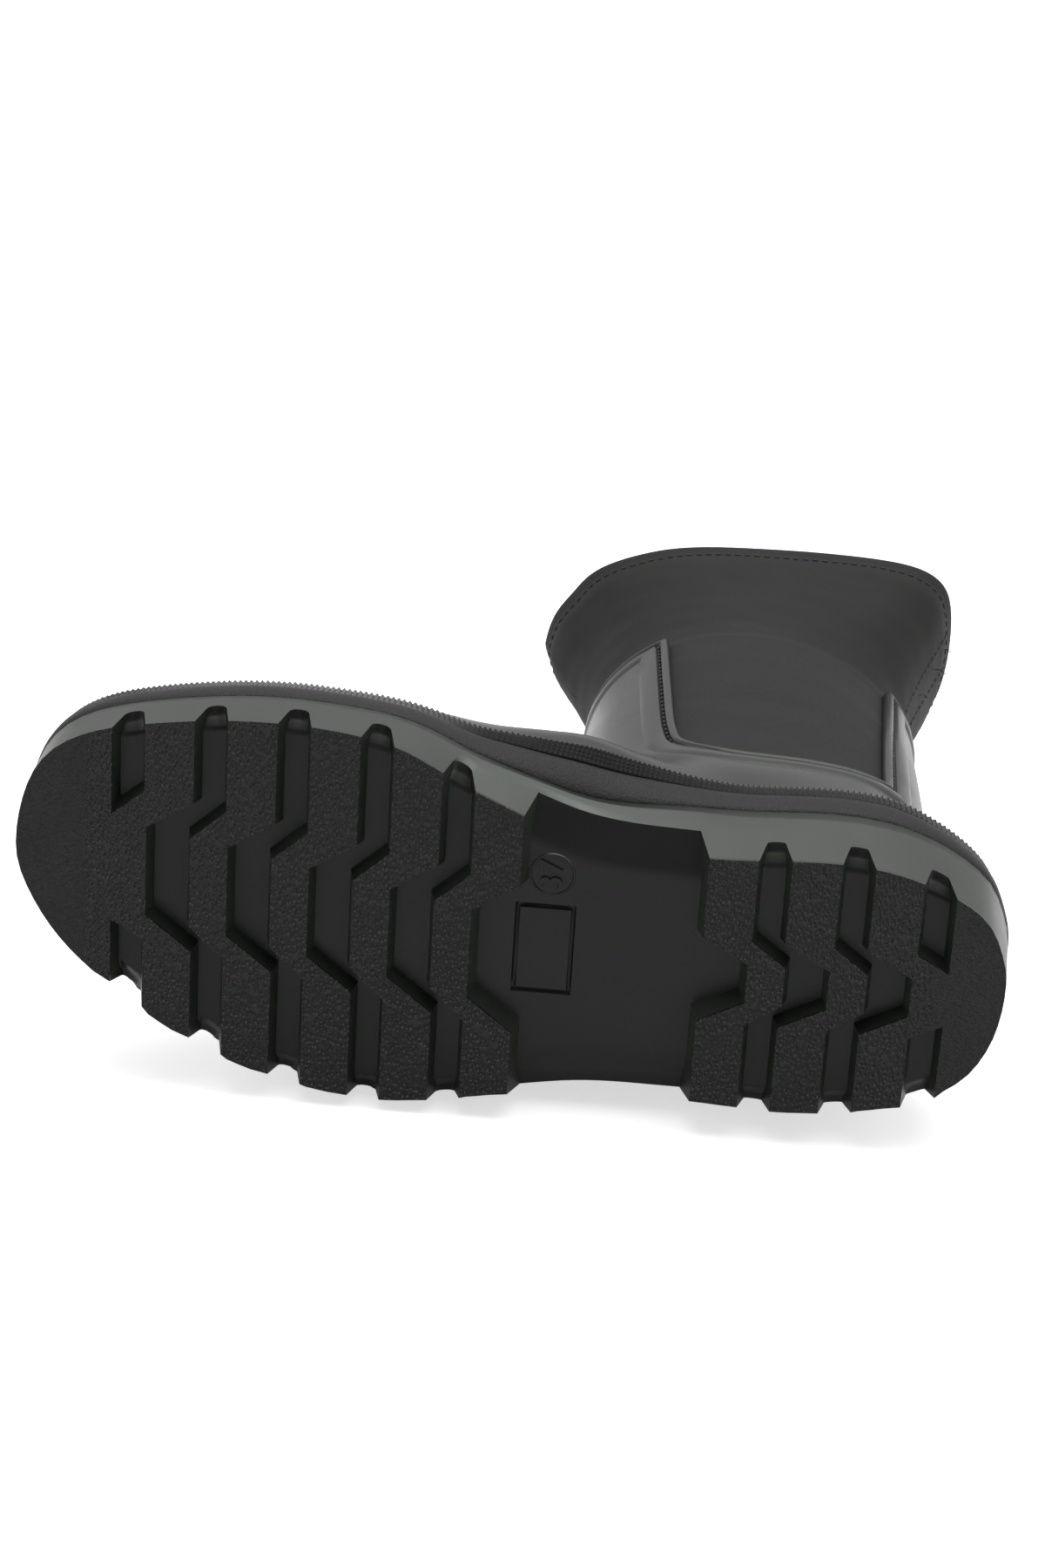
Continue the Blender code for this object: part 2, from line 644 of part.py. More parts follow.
def window_outline():
    """The side window in (y, z), open at the top: front edge, collar, back edge."""
    over = TAB_TOP + WINDOW_OVERRUN
    corner = through([(WINDOW_FRONT_FOOT, COLLAR_HEIGHT + 1.2 * WINDOW_CORNER),
                      (WINDOW_FRONT_FOOT + 0.25 * WINDOW_CORNER, COLLAR_HEIGHT + 0.50 * WINDOW_CORNER),
                      (WINDOW_FRONT_FOOT + WINDOW_CORNER, COLLAR_HEIGHT)], 3)
    collar = [(blend(WINDOW_FRONT_FOOT + WINDOW_CORNER, WINDOW_BACK_FOOT, t), COLLAR_HEIGHT - 0.002 * t * t)
              for t in (0.35, 0.7, 1.0)]
    bend = blend(COLLAR_HEIGHT, TAB_TOP, 0.85)
    back = [(blend(WINDOW_BACK_FOOT, WINDOW_BACK_TOP, 0.5), bend), (WINDOW_BACK_TOP, TAB_TOP - 0.004)]
    slope = (WINDOW_FRONT_TOP - WINDOW_FRONT_FOOT) / (TAB_TOP - COLLAR_HEIGHT - 1.2 * WINDOW_CORNER)
    front = (WINDOW_FRONT_TOP + slope * (over - TAB_TOP), over)
    return [front, *[tuple(p) for p in corner], *collar, *back, (WINDOW_BACK_TOP + 0.003, over)]


def make_shell(parts, cutters):
    """The moulded foot: vamp, counter, and the tabs that run up the leg in front and behind."""
    rows = range(TAB_ROW + 1)
    loops = [skin(row, 0.0) for row in rows] + [skin(row, -SHELL_WALL) for row in reversed(rows)]
    shell = loft("foot_shell", loops, parts, "shell", ring=True)
    cut(shell, prism("side_windows", window_outline(), -BALL_WIDTH, BALL_WIDTH, cutters, axis="X"))
    return shell


def make_reinforcements(parts):
    outset = -SHELL_WALL - GAP
    rows = [0.17, 1, *range(2, SEAM_ROW - 3)]
    toe = [k % COLUMNS for k in range(-7, 8)]
    patch("toe_reinforcement", rows, toe, outset, REINFORCEMENT, parts, "board")
    rows = [0.17, 1, *range(2, SEAM_ROW), SEAM_ROW - 0.1]
    heel = list(range(STATIONS - 6, STATIONS + 7))
    patch("heel_reinforcement", rows, heel, outset, REINFORCEMENT, parts, "board")


def make_foot_lining(parts):
    """The sock inside the foot: walls on the reinforcements, and a floor on the insole board."""
    outset = -SHELL_WALL - REINFORCEMENT - 2 * GAP
    plan = -UPPER_INSET + outset
    floor = lining_floor()
    rows = list(range(1, SEAM_ROW)) + [SEAM_ROW - 0.1]
    outer = [skin(row, outset) for row in rows]
    inner = [skin(row, outset - LINING) for row in reversed(rows)]
    loops = [level(plan, floor)] + outer + inner + [level(plan - LINING, floor + LINING)]
    loft("foot_lining", loops, parts, "lining")


def make_leg(parts):
    """The fabric leg, its lining, and the facing that the hem is sewn to."""
    outset = -SHELL_WALL - GAP
    rows = list(range(SEAM_ROW, HEM_ROW + 1))
    loops = [skin(row, outset) for row in rows] + [skin(row, outset - FABRIC) for row in reversed(rows)]
    loft("leg_fabric", loops, parts, "fabric", ring=True)
    inside = outset - FABRIC - GAP
    facing = HEM_ROW - FACING_DEPTH / (HEM_HEIGHT - TAB_TOP) * HEM_ROWS
    rows = [row for row in range(SEAM_ROW + 1, HEM_ROW) if row < facing - 0.1]
    rows = [SEAM_ROW + 0.1, *rows, facing - 0.03]
    loops = [skin(row, inside) for row in rows] + [skin(row, inside - LINING) for row in reversed(rows)]
    loft("leg_lining", loops, parts, "lining", ring=True)
    rows = [facing] + [row for row in range(SEAM_ROW, HEM_ROW + 1) if row > facing + 0.1]
    loops = [skin(row, inside) for row in rows] + [skin(row, inside - LINING) for row in reversed(rows)]
    loft("hem_facing", loops, parts, "fabric", ring=True)
    rows = [SEAM_ROW + 0.1] + list(range(SEAM_ROW + 1, HEM_ROW)) + [HEM_ROW - 0.1]
    columns = list(range(STATIONS - 1, STATIONS + 2))
    patch("back_seam_tape", rows, columns, inside - LINING - GAP, TAPE_THICKNESS, parts, "lining")


# ---- stitching ----


def upper_tree(outset):
    """The upper's surface at an outset, for finding where a stitch line lies."""
    rows = [skin(row, outset) for row in range(HEM_ROW + 1)]
    points = [Vector(point) for row in rows for point in row]
    faces = []
    for r in range(HEM_ROW):
        for k in range(COLUMNS):
            n = (k + 1) % COLUMNS
            low, high = r * COLUMNS, (r + 1) * COLUMNS
            faces.append((low + k, low + n, high + n, high + k))
    return BVHTree.FromPolygons(points, faces)


def side_point(tree, y, z, side):
    """The surface point straight across from the boot's middle at this y and z."""
    hit, normal, _, _ = tree.ray_cast(Vector((side * 0.3, y, z)), Vector((-side, 0, 0)))
    return hit + normal * math.copysign(THREAD_LIFT, normal.x * side)


def round_end(tree, z, start, end, back):
    """Points across the front or back of the leg at height z, from one side to the other."""
    centre_y, reach = (TAB_FRONT + TAB_BACK) / 2, (TAB_BACK - TAB_FRONT) / 2
    found = []
    for k in range(1, 10):
        x = blend(start, end, k / 10)
        way = Vector((x, reach if back else -reach, 0)).normalized()
        hit, _, _, _ = tree.ray_cast(Vector((0, centre_y, z)) + way * 0.3, -way)
        found.append(hit + way * THREAD_LIFT)
    return found


def stitch_sides():
    """The stitch line beside a side window, as (y, z) from the front tab's top to the back tab's."""
    outline = [p for p in window_outline() if p[1] < TAB_TOP - 0.001]
    margin = STITCH_MARGIN
    line = [(WINDOW_FRONT_TOP - margin, TAB_TOP - margin)]
    for (y0, z0), (y1, z1), (y2, z2) in zip(outline, outline[1:], outline[2:]):
        along = Vector((y2 - y0, z2 - z0)).normalized()
        line.append((y1 + along.y * margin, z1 - along.x * margin))
    line.append((WINDOW_BACK_TOP + margin, TAB_TOP - margin))
    return [tuple(p) for p in through(line, 4)]


def thread(name, points, cyclic, parts):
    curve = bpy.data.curves.new(name, "CURVE")
    curve.dimensions = "3D"
    spline = curve.splines.new("POLY")
    spline.points.add(len(points) - 1)
    for target, point in zip(spline.points, points):
        target.co = (*point, 1.0)
    spline.use_cyclic_u = cyclic
    curve.bevel_depth = THREAD_RADIUS
    curve.bevel_resolution = 0
    curve.use_fill_caps = True
    curve.materials.append(material("thread"))
    obj = bpy.data.objects.new(name, curve)
    parts.objects.link(obj)
    return obj


def make_stitching(parts):
    shell = upper_tree(0.0)
    sides = stitch_sides()
    medial = [side_point(shell, y, z, 1) for y, z in sides]
    lateral = [side_point(shell, y, z, -1) for y, z in sides]
    top = TAB_TOP - STITCH_MARGIN
    behind = round_end(shell, top, medial[-1].x, lateral[-1].x, True)
    before = round_end(shell, top, lateral[0].x, medial[0].x, False)
    thread("collar_stitching", medial + behind + lateral[::-1] + before, True, parts)
    row = HEM_ROW - HEM_MARGIN / (HEM_HEIGHT - TAB_TOP) * HEM_ROWS
    lift = THREAD_LIFT - SHELL_WALL - GAP
    thread("hem_stitching", [Vector(p) for p in skin(row, lift)], True, parts)
    rows = [blend(TAB_ROW + 0.15, row - 0.15, k / 6) for k in range(7)]
    thread("back_seam_stitching", [Vector(skin(r, lift)[STATIONS]) for r in rows], False, parts)


# ---- the boot ----


def centre_on_origin(parts):
    """Hangs every piece on one empty, placed so that the sole's box is centred on the origin."""
    frame = bpy.data.objects.new("boot_frame", None)
    parts.objects.link(frame)
    outer = level(BAND_BULGE, 0.0)
    middle = (outer.min(axis=0) + outer.max(axis=0)) / 2
    frame.location = (-middle[0], -middle[1], 0.0)
    for collection in bpy.data.collections:
        for obj in collection.objects:
            if obj is not frame:
                obj.parent = frame


def main():
    clear_scene()
    parts = make_collection("rain_boot")
    cutters = make_collection("cutters", hidden=True)
    make_outsole(parts, cutters)
    make_sole_core(parts, cutters)
    make_insole(parts)
    make_foxing(parts)
    make_shell(parts, cutters)
    make_reinforcements(parts)
    make_foot_lining(parts)
    make_leg(parts)
    make_stitching(parts)
    centre_on_origin(parts)
    bpy.context.view_layer.update()


main()
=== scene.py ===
import math

import bmesh
import bpy
import numpy as np
from mathutils import Matrix, Vector
from mathutils.bvhtree import BVHTree
from mathutils.kdtree import KDTree


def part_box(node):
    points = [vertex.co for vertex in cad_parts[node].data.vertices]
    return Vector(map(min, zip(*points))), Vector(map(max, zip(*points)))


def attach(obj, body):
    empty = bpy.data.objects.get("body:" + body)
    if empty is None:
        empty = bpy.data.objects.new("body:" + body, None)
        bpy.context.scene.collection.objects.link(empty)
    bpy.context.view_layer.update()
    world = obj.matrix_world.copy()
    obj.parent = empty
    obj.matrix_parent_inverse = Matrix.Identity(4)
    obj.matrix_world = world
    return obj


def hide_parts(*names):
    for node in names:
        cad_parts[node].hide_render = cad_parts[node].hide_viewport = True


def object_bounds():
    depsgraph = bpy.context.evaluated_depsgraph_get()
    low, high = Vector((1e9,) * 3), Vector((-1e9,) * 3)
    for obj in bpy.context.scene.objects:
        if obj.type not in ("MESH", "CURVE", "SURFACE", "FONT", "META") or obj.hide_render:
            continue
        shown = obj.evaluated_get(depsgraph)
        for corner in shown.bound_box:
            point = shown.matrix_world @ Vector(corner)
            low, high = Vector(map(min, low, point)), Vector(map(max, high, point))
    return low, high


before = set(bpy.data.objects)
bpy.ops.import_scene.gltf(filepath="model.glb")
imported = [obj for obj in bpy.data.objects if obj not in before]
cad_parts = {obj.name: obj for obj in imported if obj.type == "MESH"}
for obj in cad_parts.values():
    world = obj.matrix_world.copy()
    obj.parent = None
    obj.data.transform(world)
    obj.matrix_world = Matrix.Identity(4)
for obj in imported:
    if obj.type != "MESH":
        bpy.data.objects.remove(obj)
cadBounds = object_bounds()
print("frame loaded:", len(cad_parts), "nodes")


# small helpers

def ease(share):
    share = min(max(share, 0.0), 1.0)
    return share * share * (3.0 - 2.0 * share)


def mix(low, high, share):
    return low + (high - low) * share


def curveThrough(points, steps):
    # Catmull-Rom through the points, ends included
    points = np.array(points, float)
    ends = np.vstack([2 * points[0] - points[1], points, 2 * points[-1] - points[-2]])
    found = []
    for a, b, c, d in zip(ends, ends[1:], ends[2:], ends[3:]):
        for step in range(steps):
            t = step / steps
            found.append(0.5 * (2 * b + (c - a) * t + (2 * a - 5 * b + 4 * c - d) * t ** 2
                                + (3 * b - a - 3 * c + d) * t ** 3))
    found.append(points[-1])
    return np.array(found)


# plan of the boot, in metres; +y is the heel and +x the inner side of the foot
plan = {
    "treadLength": 0.2667, "ballWidth": 0.1056, "heelWidth": 0.0742, "toeY": -0.1377,
    "forefootMedial": ((0.0202, 0.413), (0.0724, 0.516), (0.179, 0.570), (0.284, 0.580),
                       (0.378, 0.543), (0.461, 0.440)),
    "forefootLateral": ((0.0105, 0.087), (0.054, -0.080), (0.135, -0.248), (0.213, -0.355),
                        (0.294, -0.417), (0.378, -0.440), (0.461, -0.412)),
    "heelMedial": ((0.573, 0.472), (0.694, 0.447), (0.826, 0.466), (0.906, 0.420),
                   (0.969, 0.307), (0.995, 0.144)),
    "heelLateral": ((0.573, -0.519), (0.694, -0.522), (0.798, -0.534), (0.904, -0.472),
                    (0.962, -0.360), (0.990, -0.205)),
    "toeTip": 0.229, "heelEnd": -0.014,
    "forefootHeight": 0.0160, "heelHeight": 0.0250,
    "toeFlare": 0.0004, "ballFlare": 0.0014, "waistFlare": 0.0050, "heelFlare": 0.0040, "heelEndFlare": 0.0020,
    "ballShare": 0.29, "waistStart": -0.0020, "heelBreast": 0.0477,
    "pitch": 0.0220, "sideGroove": 0.0089, "chevron": 0.0110, "middleSpare": 0.0015,
    "firstGroove": -0.1120, "heelGroove": 0.0607,
    "forefootKnees": (0.0312, 0.0210, -0.0048, -0.0121), "kneeSlope": -0.185, "kneeY": -0.060,
    "heelKnees": (0.0103, 0.0033, -0.0080, -0.0145),
}
heelEndY = plan["toeY"] + plan["treadLength"]


def soleHeight(y):
    start = plan["waistStart"] - 0.018
    share = (y - start) / (plan["heelBreast"] + 0.012 - start)
    return mix(plan["forefootHeight"], plan["heelHeight"], ease(share))


def flare(y):
    # how far the top of the sidewall stands out past the tread
    ballY = plan["toeY"] + plan["ballShare"] * plan["treadLength"]
    forefoot = mix(plan["toeFlare"], plan["ballFlare"], ease((y - plan["toeY"]) / (ballY - plan["toeY"])))
    waist = mix(forefoot, plan["waistFlare"], ease((y - ballY) / (plan["waistStart"] + 0.012 - ballY)))
    heel = mix(plan["heelFlare"], plan["heelEndFlare"], ease((y - heelEndY + 0.035) / 0.035))
    return mix(waist, heel, ease((y - plan["heelBreast"] + 0.015) / 0.030))


def treadSide(side):
    # one side of the tread outline from toe tip to heel end
    fore, heel = (("forefootMedial", "heelMedial"), ("forefootLateral", "heelLateral"))[side < 0]
    otherFore, otherHeel = (("forefootLateral", "heelLateral"), ("forefootMedial", "heelMedial"))[side < 0]
    ball, heelWidth = plan["ballWidth"], plan["heelWidth"]
    shares = [(*plan[otherFore][0], ball), (0.0, plan["toeTip"], ball)]
    shares += [(*p, ball) for p in plan[fore]] + [(*p, heelWidth) for p in plan[heel]]
    shares += [(1.0, plan["heelEnd"], heelWidth), (*plan[otherHeel][-1], heelWidth)]
    points = curveThrough([(x * w, plan["toeY"] + y * plan["treadLength"]) for y, x, w in shares], 40)
    return points[int(np.argmin(points[:, 1])): int(np.argmax(points[:, 1])) + 1]


class Outline:
    # the closed tread outline: along is the distance from the toe tip by way of the inner side
    def __init__(self):
        medial, lateral = treadSide(1), treadSide(-1)
        self.points = np.vstack([medial, lateral[::-1][1:-1]])
        steps = np.linalg.norm(np.roll(self.points, -1, axis=0) - self.points, axis=1)
        self.at = np.concatenate([[0.0], np.cumsum(steps)])
        self.length = self.at[-1]
        wide = np.roll(self.points, -4, axis=0) - np.roll(self.points, 4, axis=0)
        normals = np.stack([wide[:, 1], -wide[:, 0]], axis=1)
        self.normals = normals / np.linalg.norm(normals, axis=1)[:, None]
        count = len(medial)
        self.sides = {1: (medial[:, 1], self.at[:count]),
                      -1: (lateral[:, 1], self.length - np.concatenate([[0.0], np.cumsum(
                          np.linalg.norm(np.diff(lateral, axis=0), axis=1))]))}

    def read(self, table, along):
        along = along % self.length
        closed = np.vstack([table, table[:1]])
        return np.array([np.interp(along, self.at, closed[:, k]) for k in (0, 1)])

    def point(self, along):
        return self.read(self.points, along)

    def normal(self, along):
        found = self.read(self.normals, along)
        return found / np.linalg.norm(found)

    def alongAt(self, y, side):
        ys, at = self.sides[side]
        return float(np.interp(y, ys, at))

    def wall(self, along, z, out=0.0):
        # a point of the sidewall at this height
        p = self.point(along)
        reach = flare(p[1]) * max(z, 0.0) / soleHeight(p[1])
        p = p + self.normal(along) * (min(reach, flare(p[1])) + out)
        return Vector((p[0], p[1], z))


outline = Outline()


def rimLoop(count, out=0.0):
    # points of the sidewall's top edge, moved outwards by out
    found = []
    for k in range(count):
        along = outline.length * k / count
        y = outline.point(along)[1]
        found.append(outline.wall(along, soleHeight(y), out))
    return found


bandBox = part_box("foxing_band")
rim = np.array([tuple(p) for p in rimLoop(360, 0.0008)])
shift = (bandBox[0] + bandBox[1]) / 2 - Vector((*(rim.min(axis=0) + rim.max(axis=0))[:2] / 2, 0))
place = Vector((shift.x, shift.y, 0.0))  # plan to frame


def makePiece(name, build, replaced, material, smooth=True):
    bmesh.ops.translate(build, verts=build.verts, vec=place)
    mesh = bpy.data.meshes.new(name)
    build.to_mesh(mesh)
    build.free()
    mesh.polygons.foreach_set("use_smooth", [smooth] * len(mesh.polygons))
    piece = bpy.data.objects.new(name, mesh)
    bpy.context.scene.collection.objects.link(piece)
    mesh.materials.append(material)
    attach(piece, "root")
    if replaced:
        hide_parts(*replaced)
    print("made", name, len(mesh.polygons), "faces")
    return piece


def crisp(piece):
    tidy = piece.modifiers.new("flatNormals", "WEIGHTED_NORMAL")
    tidy.weight = 50
    tidy.keep_sharp = True


def vertsOf(grown):
    return [g for g in grown if isinstance(g, bmesh.types.BMVert)]


def openEdges(edges):
    return [e for e in edges if isinstance(e, bmesh.types.BMEdge) and len(e.link_faces) == 1]


def nextRow(build, edges, row, places):
    # extrudes a row of points to the next places along it
    fresh = set(vertsOf(bmesh.ops.extrude_edge_only(build, edges=edges)["geom"]))
    made = [next(e.other_vert(v) for e in v.link_edges if e.other_vert(v) in fresh) for v in row]
    for v, place in zip(made, places):
        v.co = place
    return made


def ringPairs(row):
    return list(zip(row, row[1:] + row[:1]))


def ringsToBuild(build, loops):
    # draws one loop of edges and extrudes it from loop to loop; returns the rows of points
    rows = [[build.verts.new(p) for p in loops[0]]]
    edges = [build.edges.new(pair) for pair in ringPairs(rows[0])]
    build.verts.index_update()
    for loop in loops[1:]:
        rows.append(nextRow(build, edges, rows[-1], loop))
        edges = [build.edges.get(pair) for pair in ringPairs(rows[-1])]
    return rows


def closeRing(build, rows):
    # joins the last row to the first
    edges = [build.edges.get(pair) for row in (rows[0], rows[-1]) for pair in ringPairs(row)]
    bmesh.ops.bridge_loops(build, edges=edges)
    bmesh.ops.recalc_face_normals(build, faces=build.faces)
    return build


def capEnds(build, rows):
    # fills the first and the last row
    for row in (rows[0], rows[-1]):
        edges = [build.edges.get(pair) for pair in ringPairs(row)]
        bmesh.ops.triangle_fill(build, edges=edges, use_beauty=True)
    bmesh.ops.recalc_face_normals(build, faces=build.faces)
    return build


# materials

def addNode(tree, kind, output, sockets=(), **fields):
    # a new shader node; each socket takes a plain value or another node's output
    made = tree.nodes.new("ShaderNode" + kind)
    for field, value in fields.items():
        setattr(made, field, value)
    for socket, value in dict(sockets).items():
        if isinstance(value, bpy.types.NodeSocket):
            tree.links.new(value, made.inputs[socket])
        else:
            made.inputs[socket].default_value = value
    return made.outputs[output]


def newMaterial(name, colour, roughness, **sockets):
    made = bpy.data.materials.new(name)
    made.use_nodes = True
    tree = made.node_tree
    shader = tree.nodes["Principled BSDF"]
    for socket, value in {"Base Color": (*colour, 1.0), "Roughness": roughness, **sockets}.items():
        shader.inputs[socket].default_value = value
    return made, tree, shader


def objectPoint(tree, scale=(1, 1, 1)):
    return addNode(tree, "Mapping", "Vector", {"Scale": scale, "Vector": addNode(tree, "TexCoord", "Object")})


def part(tree, vector, axis):
    return addNode(tree, "SeparateXYZ", axis, {"Vector": vector})


def noise(tree, vector, scale, detail):
    return addNode(tree, "TexNoise", "Fac", {
        "Scale": scale, "Detail": detail, "Roughness": 0.55, "Vector": vector})


def stretch(tree, value, low, high, toLow=0.0, toHigh=1.0):
    return addNode(tree, "MapRange", "Result", {
        "From Min": low, "From Max": high, "To Min": toLow, "To Max": toHigh, "Value": value})


def combine(tree, kind, first, second):
    return addNode(tree, "Math", "Value", {0: first, 1: second}, operation=kind)


def tint(tree, value, low, high):
    return addNode(tree, "Mix", "Result", {
        "Factor": value, "A": (*low, 1.0), "B": (*high, 1.0)}, data_type="RGBA")


def bump(tree, height, distance, strength=1.0, below=None):
    sockets = {"Distance": distance, "Strength": strength, "Height": height}
    return addNode(tree, "Bump", "Normal", sockets if below is None else {**sockets, "Normal": below})


def dusty(name, low, high, roughness, grain, depth, wear=0.06, blotch=60, **sockets):
    # a mottled finish: two tones, uneven gloss, a fine grain and a shallow long wave
    made, tree, shader = newMaterial(name, low, roughness, **sockets)
    point = objectPoint(tree)
    cloud = noise(tree, point, blotch, 4)
    tree.links.new(tint(tree, stretch(tree, cloud, 0.3, 0.7), low, high), shader.inputs["Base Color"])
    fine = noise(tree, point, grain, 3)
    gloss = stretch(tree, combine(tree, "ADD", cloud, fine), 0.6, 1.4, roughness - wear, roughness + wear)
    tree.links.new(gloss, shader.inputs["Roughness"])
    wave = bump(tree, noise(tree, point, 90, 2), 0.0004, 0.25)
    tree.links.new(bump(tree, fine, depth, 1.0, wave), shader.inputs["Normal"])
    return made


# camera and light

cameraStand = {
    "location": (0.3490, 0.0406, -0.7631),
    "right": (0.0576, 0.9955, 0.0752),
    "up": (0.9266, -0.0814, 0.3672),
    "back": (0.3717, 0.0486, -0.9271),
    "lens": 72.0,
}
cameraData = bpy.data.cameras.new("camera")
cameraData.lens = cameraStand["lens"]
cameraData.sensor_width = 36.0
cameraData.clip_start = 0.01
camera = bpy.data.objects.new("camera", cameraData)
bpy.context.scene.collection.objects.link(camera)
turned = Matrix((cameraStand["right"], cameraStand["up"], cameraStand["back"])).transposed().to_4x4()
camera.matrix_world = Matrix.Translation(cameraStand["location"]) @ turned
bpy.context.scene.camera = camera
bpy.context.scene.view_settings.view_transform = "Standard"

studio = {
    "lights": (
        # name, from where, aimed at, size, watts
        ("ceilingLight", (1.30, 0.10, 0.15), (0, 0, 0.05), 1.5, 21),
        ("toeLight", (0.55, -1.20, -0.20), (0, -0.05, 0.02), 0.9, 3.0),
        ("heelLight", (0.60, 1.20, -0.05), (0, 0.05, 0.05), 0.9, 3.0),
        ("frontFill", (0.60, 0.00, -1.40), (0, 0, 0.02), 0.8, 0.8),
    ),
    "seenWorld": 1.0, "dimWorld": 0.12, "brightWorld": 0.75,
    # how bright the floor's own glow is for other rays and for the camera
    "floorSize": 8.0, "floorColour": 0.80, "floorGlow": (0.10, 0.62),
}
for lightName, source, target, size, watts in studio["lights"]:
    lightData = bpy.data.lights.new(lightName, "AREA")
    lightData.shape = "SQUARE"
    lightData.size = size
    lightData.energy = watts
    light = bpy.data.objects.new(lightName, lightData)
    light.location = source
    light.rotation_euler = (Vector(target) - Vector(source)).to_track_quat("-Z", "Y").to_euler()
    bpy.context.scene.collection.objects.link(light)

world = bpy.data.worlds.new("studioWorld")
bpy.context.scene.world = world
world.use_nodes = True
worldTree = world.node_tree
backdrop = worldTree.nodes["Background"]
backdrop.inputs["Color"].default_value = (1, 1, 1, 1)
# dim before the tread, bright above and behind
sky = part(worldTree, addNode(worldTree, "TexCoord", "Generated"), "Z")
skyFade = stretch(worldTree, sky, -0.75, 0.35, studio["dimWorld"], studio["brightWorld"])
level = addNode(worldTree, "Mix", "Result", {
    "Factor": addNode(worldTree, "LightPath", "Is Camera Ray"), "A": skyFade, "B": studio["seenWorld"]})
worldTree.links.new(level, backdrop.inputs["Strength"])


def paleFloor(name, centre, size, turn):
    # seen and lit from its upper side only, so that it hides nothing from below
    build = bmesh.new()
    bmesh.ops.create_grid(build, x_segments=1, y_segments=1, size=size)
    bmesh.ops.rotate(build, verts=build.verts, cent=(0, 0, 0), matrix=Matrix.Rotation(turn, 3, "Y"))
    bmesh.ops.translate(build, verts=build.verts, vec=centre)
    mesh = bpy.data.meshes.new(name)
    build.to_mesh(mesh)
    build.free()
    floor = bpy.data.objects.new(name, mesh)
    bpy.context.scene.collection.objects.link(floor)
    made = bpy.data.materials.new(name + "Paint")
    made.use_nodes = True
    tree = made.node_tree
    tree.nodes.remove(tree.nodes["Principled BSDF"])
    grey = studio["floorColour"]
    paint = addNode(tree, "BsdfDiffuse", "BSDF", {"Color": (grey, grey, grey, 1)})
    seen = stretch(tree, addNode(tree, "LightPath", "Is Camera Ray"), 0, 1, *studio["floorGlow"])
    glow = addNode(tree, "Emission", "Emission", {"Strength": seen})
    lit = addNode(tree, "AddShader", "Shader", {0: paint, 1: glow})
    shown = addNode(tree, "MixShader", "Shader", {
        "Fac": addNode(tree, "NewGeometry", "Backfacing"), 1: lit, 2: addNode(tree, "BsdfTransparent", "BSDF")})
    tree.links.new(shown, tree.nodes["Material Output"].inputs["Surface"])
    mesh.materials.append(made)


paleFloor("sideFloor", (cadBounds[0][0] - 0.0006, 0, 0), studio["floorSize"], math.pi / 2)
print("camera and studio ready")


# outsole

sole = {
    "grooveDepth": 0.0060, "draft": 0.22, "waistDepth": 0.0080,
    "rampIn": (0.0, 0.0017, 0.0026, 0.0042, 0.0058),
    "rampMiddle": (0.0098, 0.0095, 0.0088, 0.0070, 0.0060),
    "rampEdge": (0.0078, 0.0077, 0.0074, 0.0064, 0.0060),
    "heelRampEdge": (0.0092, 0.0090, 0.0083, 0.0067, 0.0060),
    "across": 6, "waistAcross": 12, "wallRows": 4, "bevel": 0.00038, "sharpDegrees": 33,
    "rampRound": (2.6, 0.6),
    "waistIn": (0.0, 0.0022, 0.0050, 0.0090, 0.0125),
    "waistRise": (0.0128, 0.0122, 0.0104, 0.0086, 0.0080),
    "lugStep": 0.0045, "rimWall": 0.0075, "cupDepth": 0.0060,
}


def kneeXs(y, inHeel):
    if inHeel:
        return plan["heelKnees"]
    return [x + plan["kneeSlope"] * (y - plan["kneeY"]) for x in plan["forefootKnees"]]


def offsetPath(points, distance):
    # moves an open plan path sideways, to the left of its direction, keeping its corners
    points = [Vector(p) for p in points]
    ways = [(b - a).normalized() for a, b in zip(points, points[1:])]
    found = []
    for k, p in enumerate(points):
        before = ways[max(k - 1, 0)]
        after = ways[min(k, len(ways) - 1)]
        n1, n2 = Vector((-before.y, before.x)), Vector((-after.y, after.x))
        found.append(p + (n1 + n2) / (1 + n1.dot(n2)) * distance)
    return found


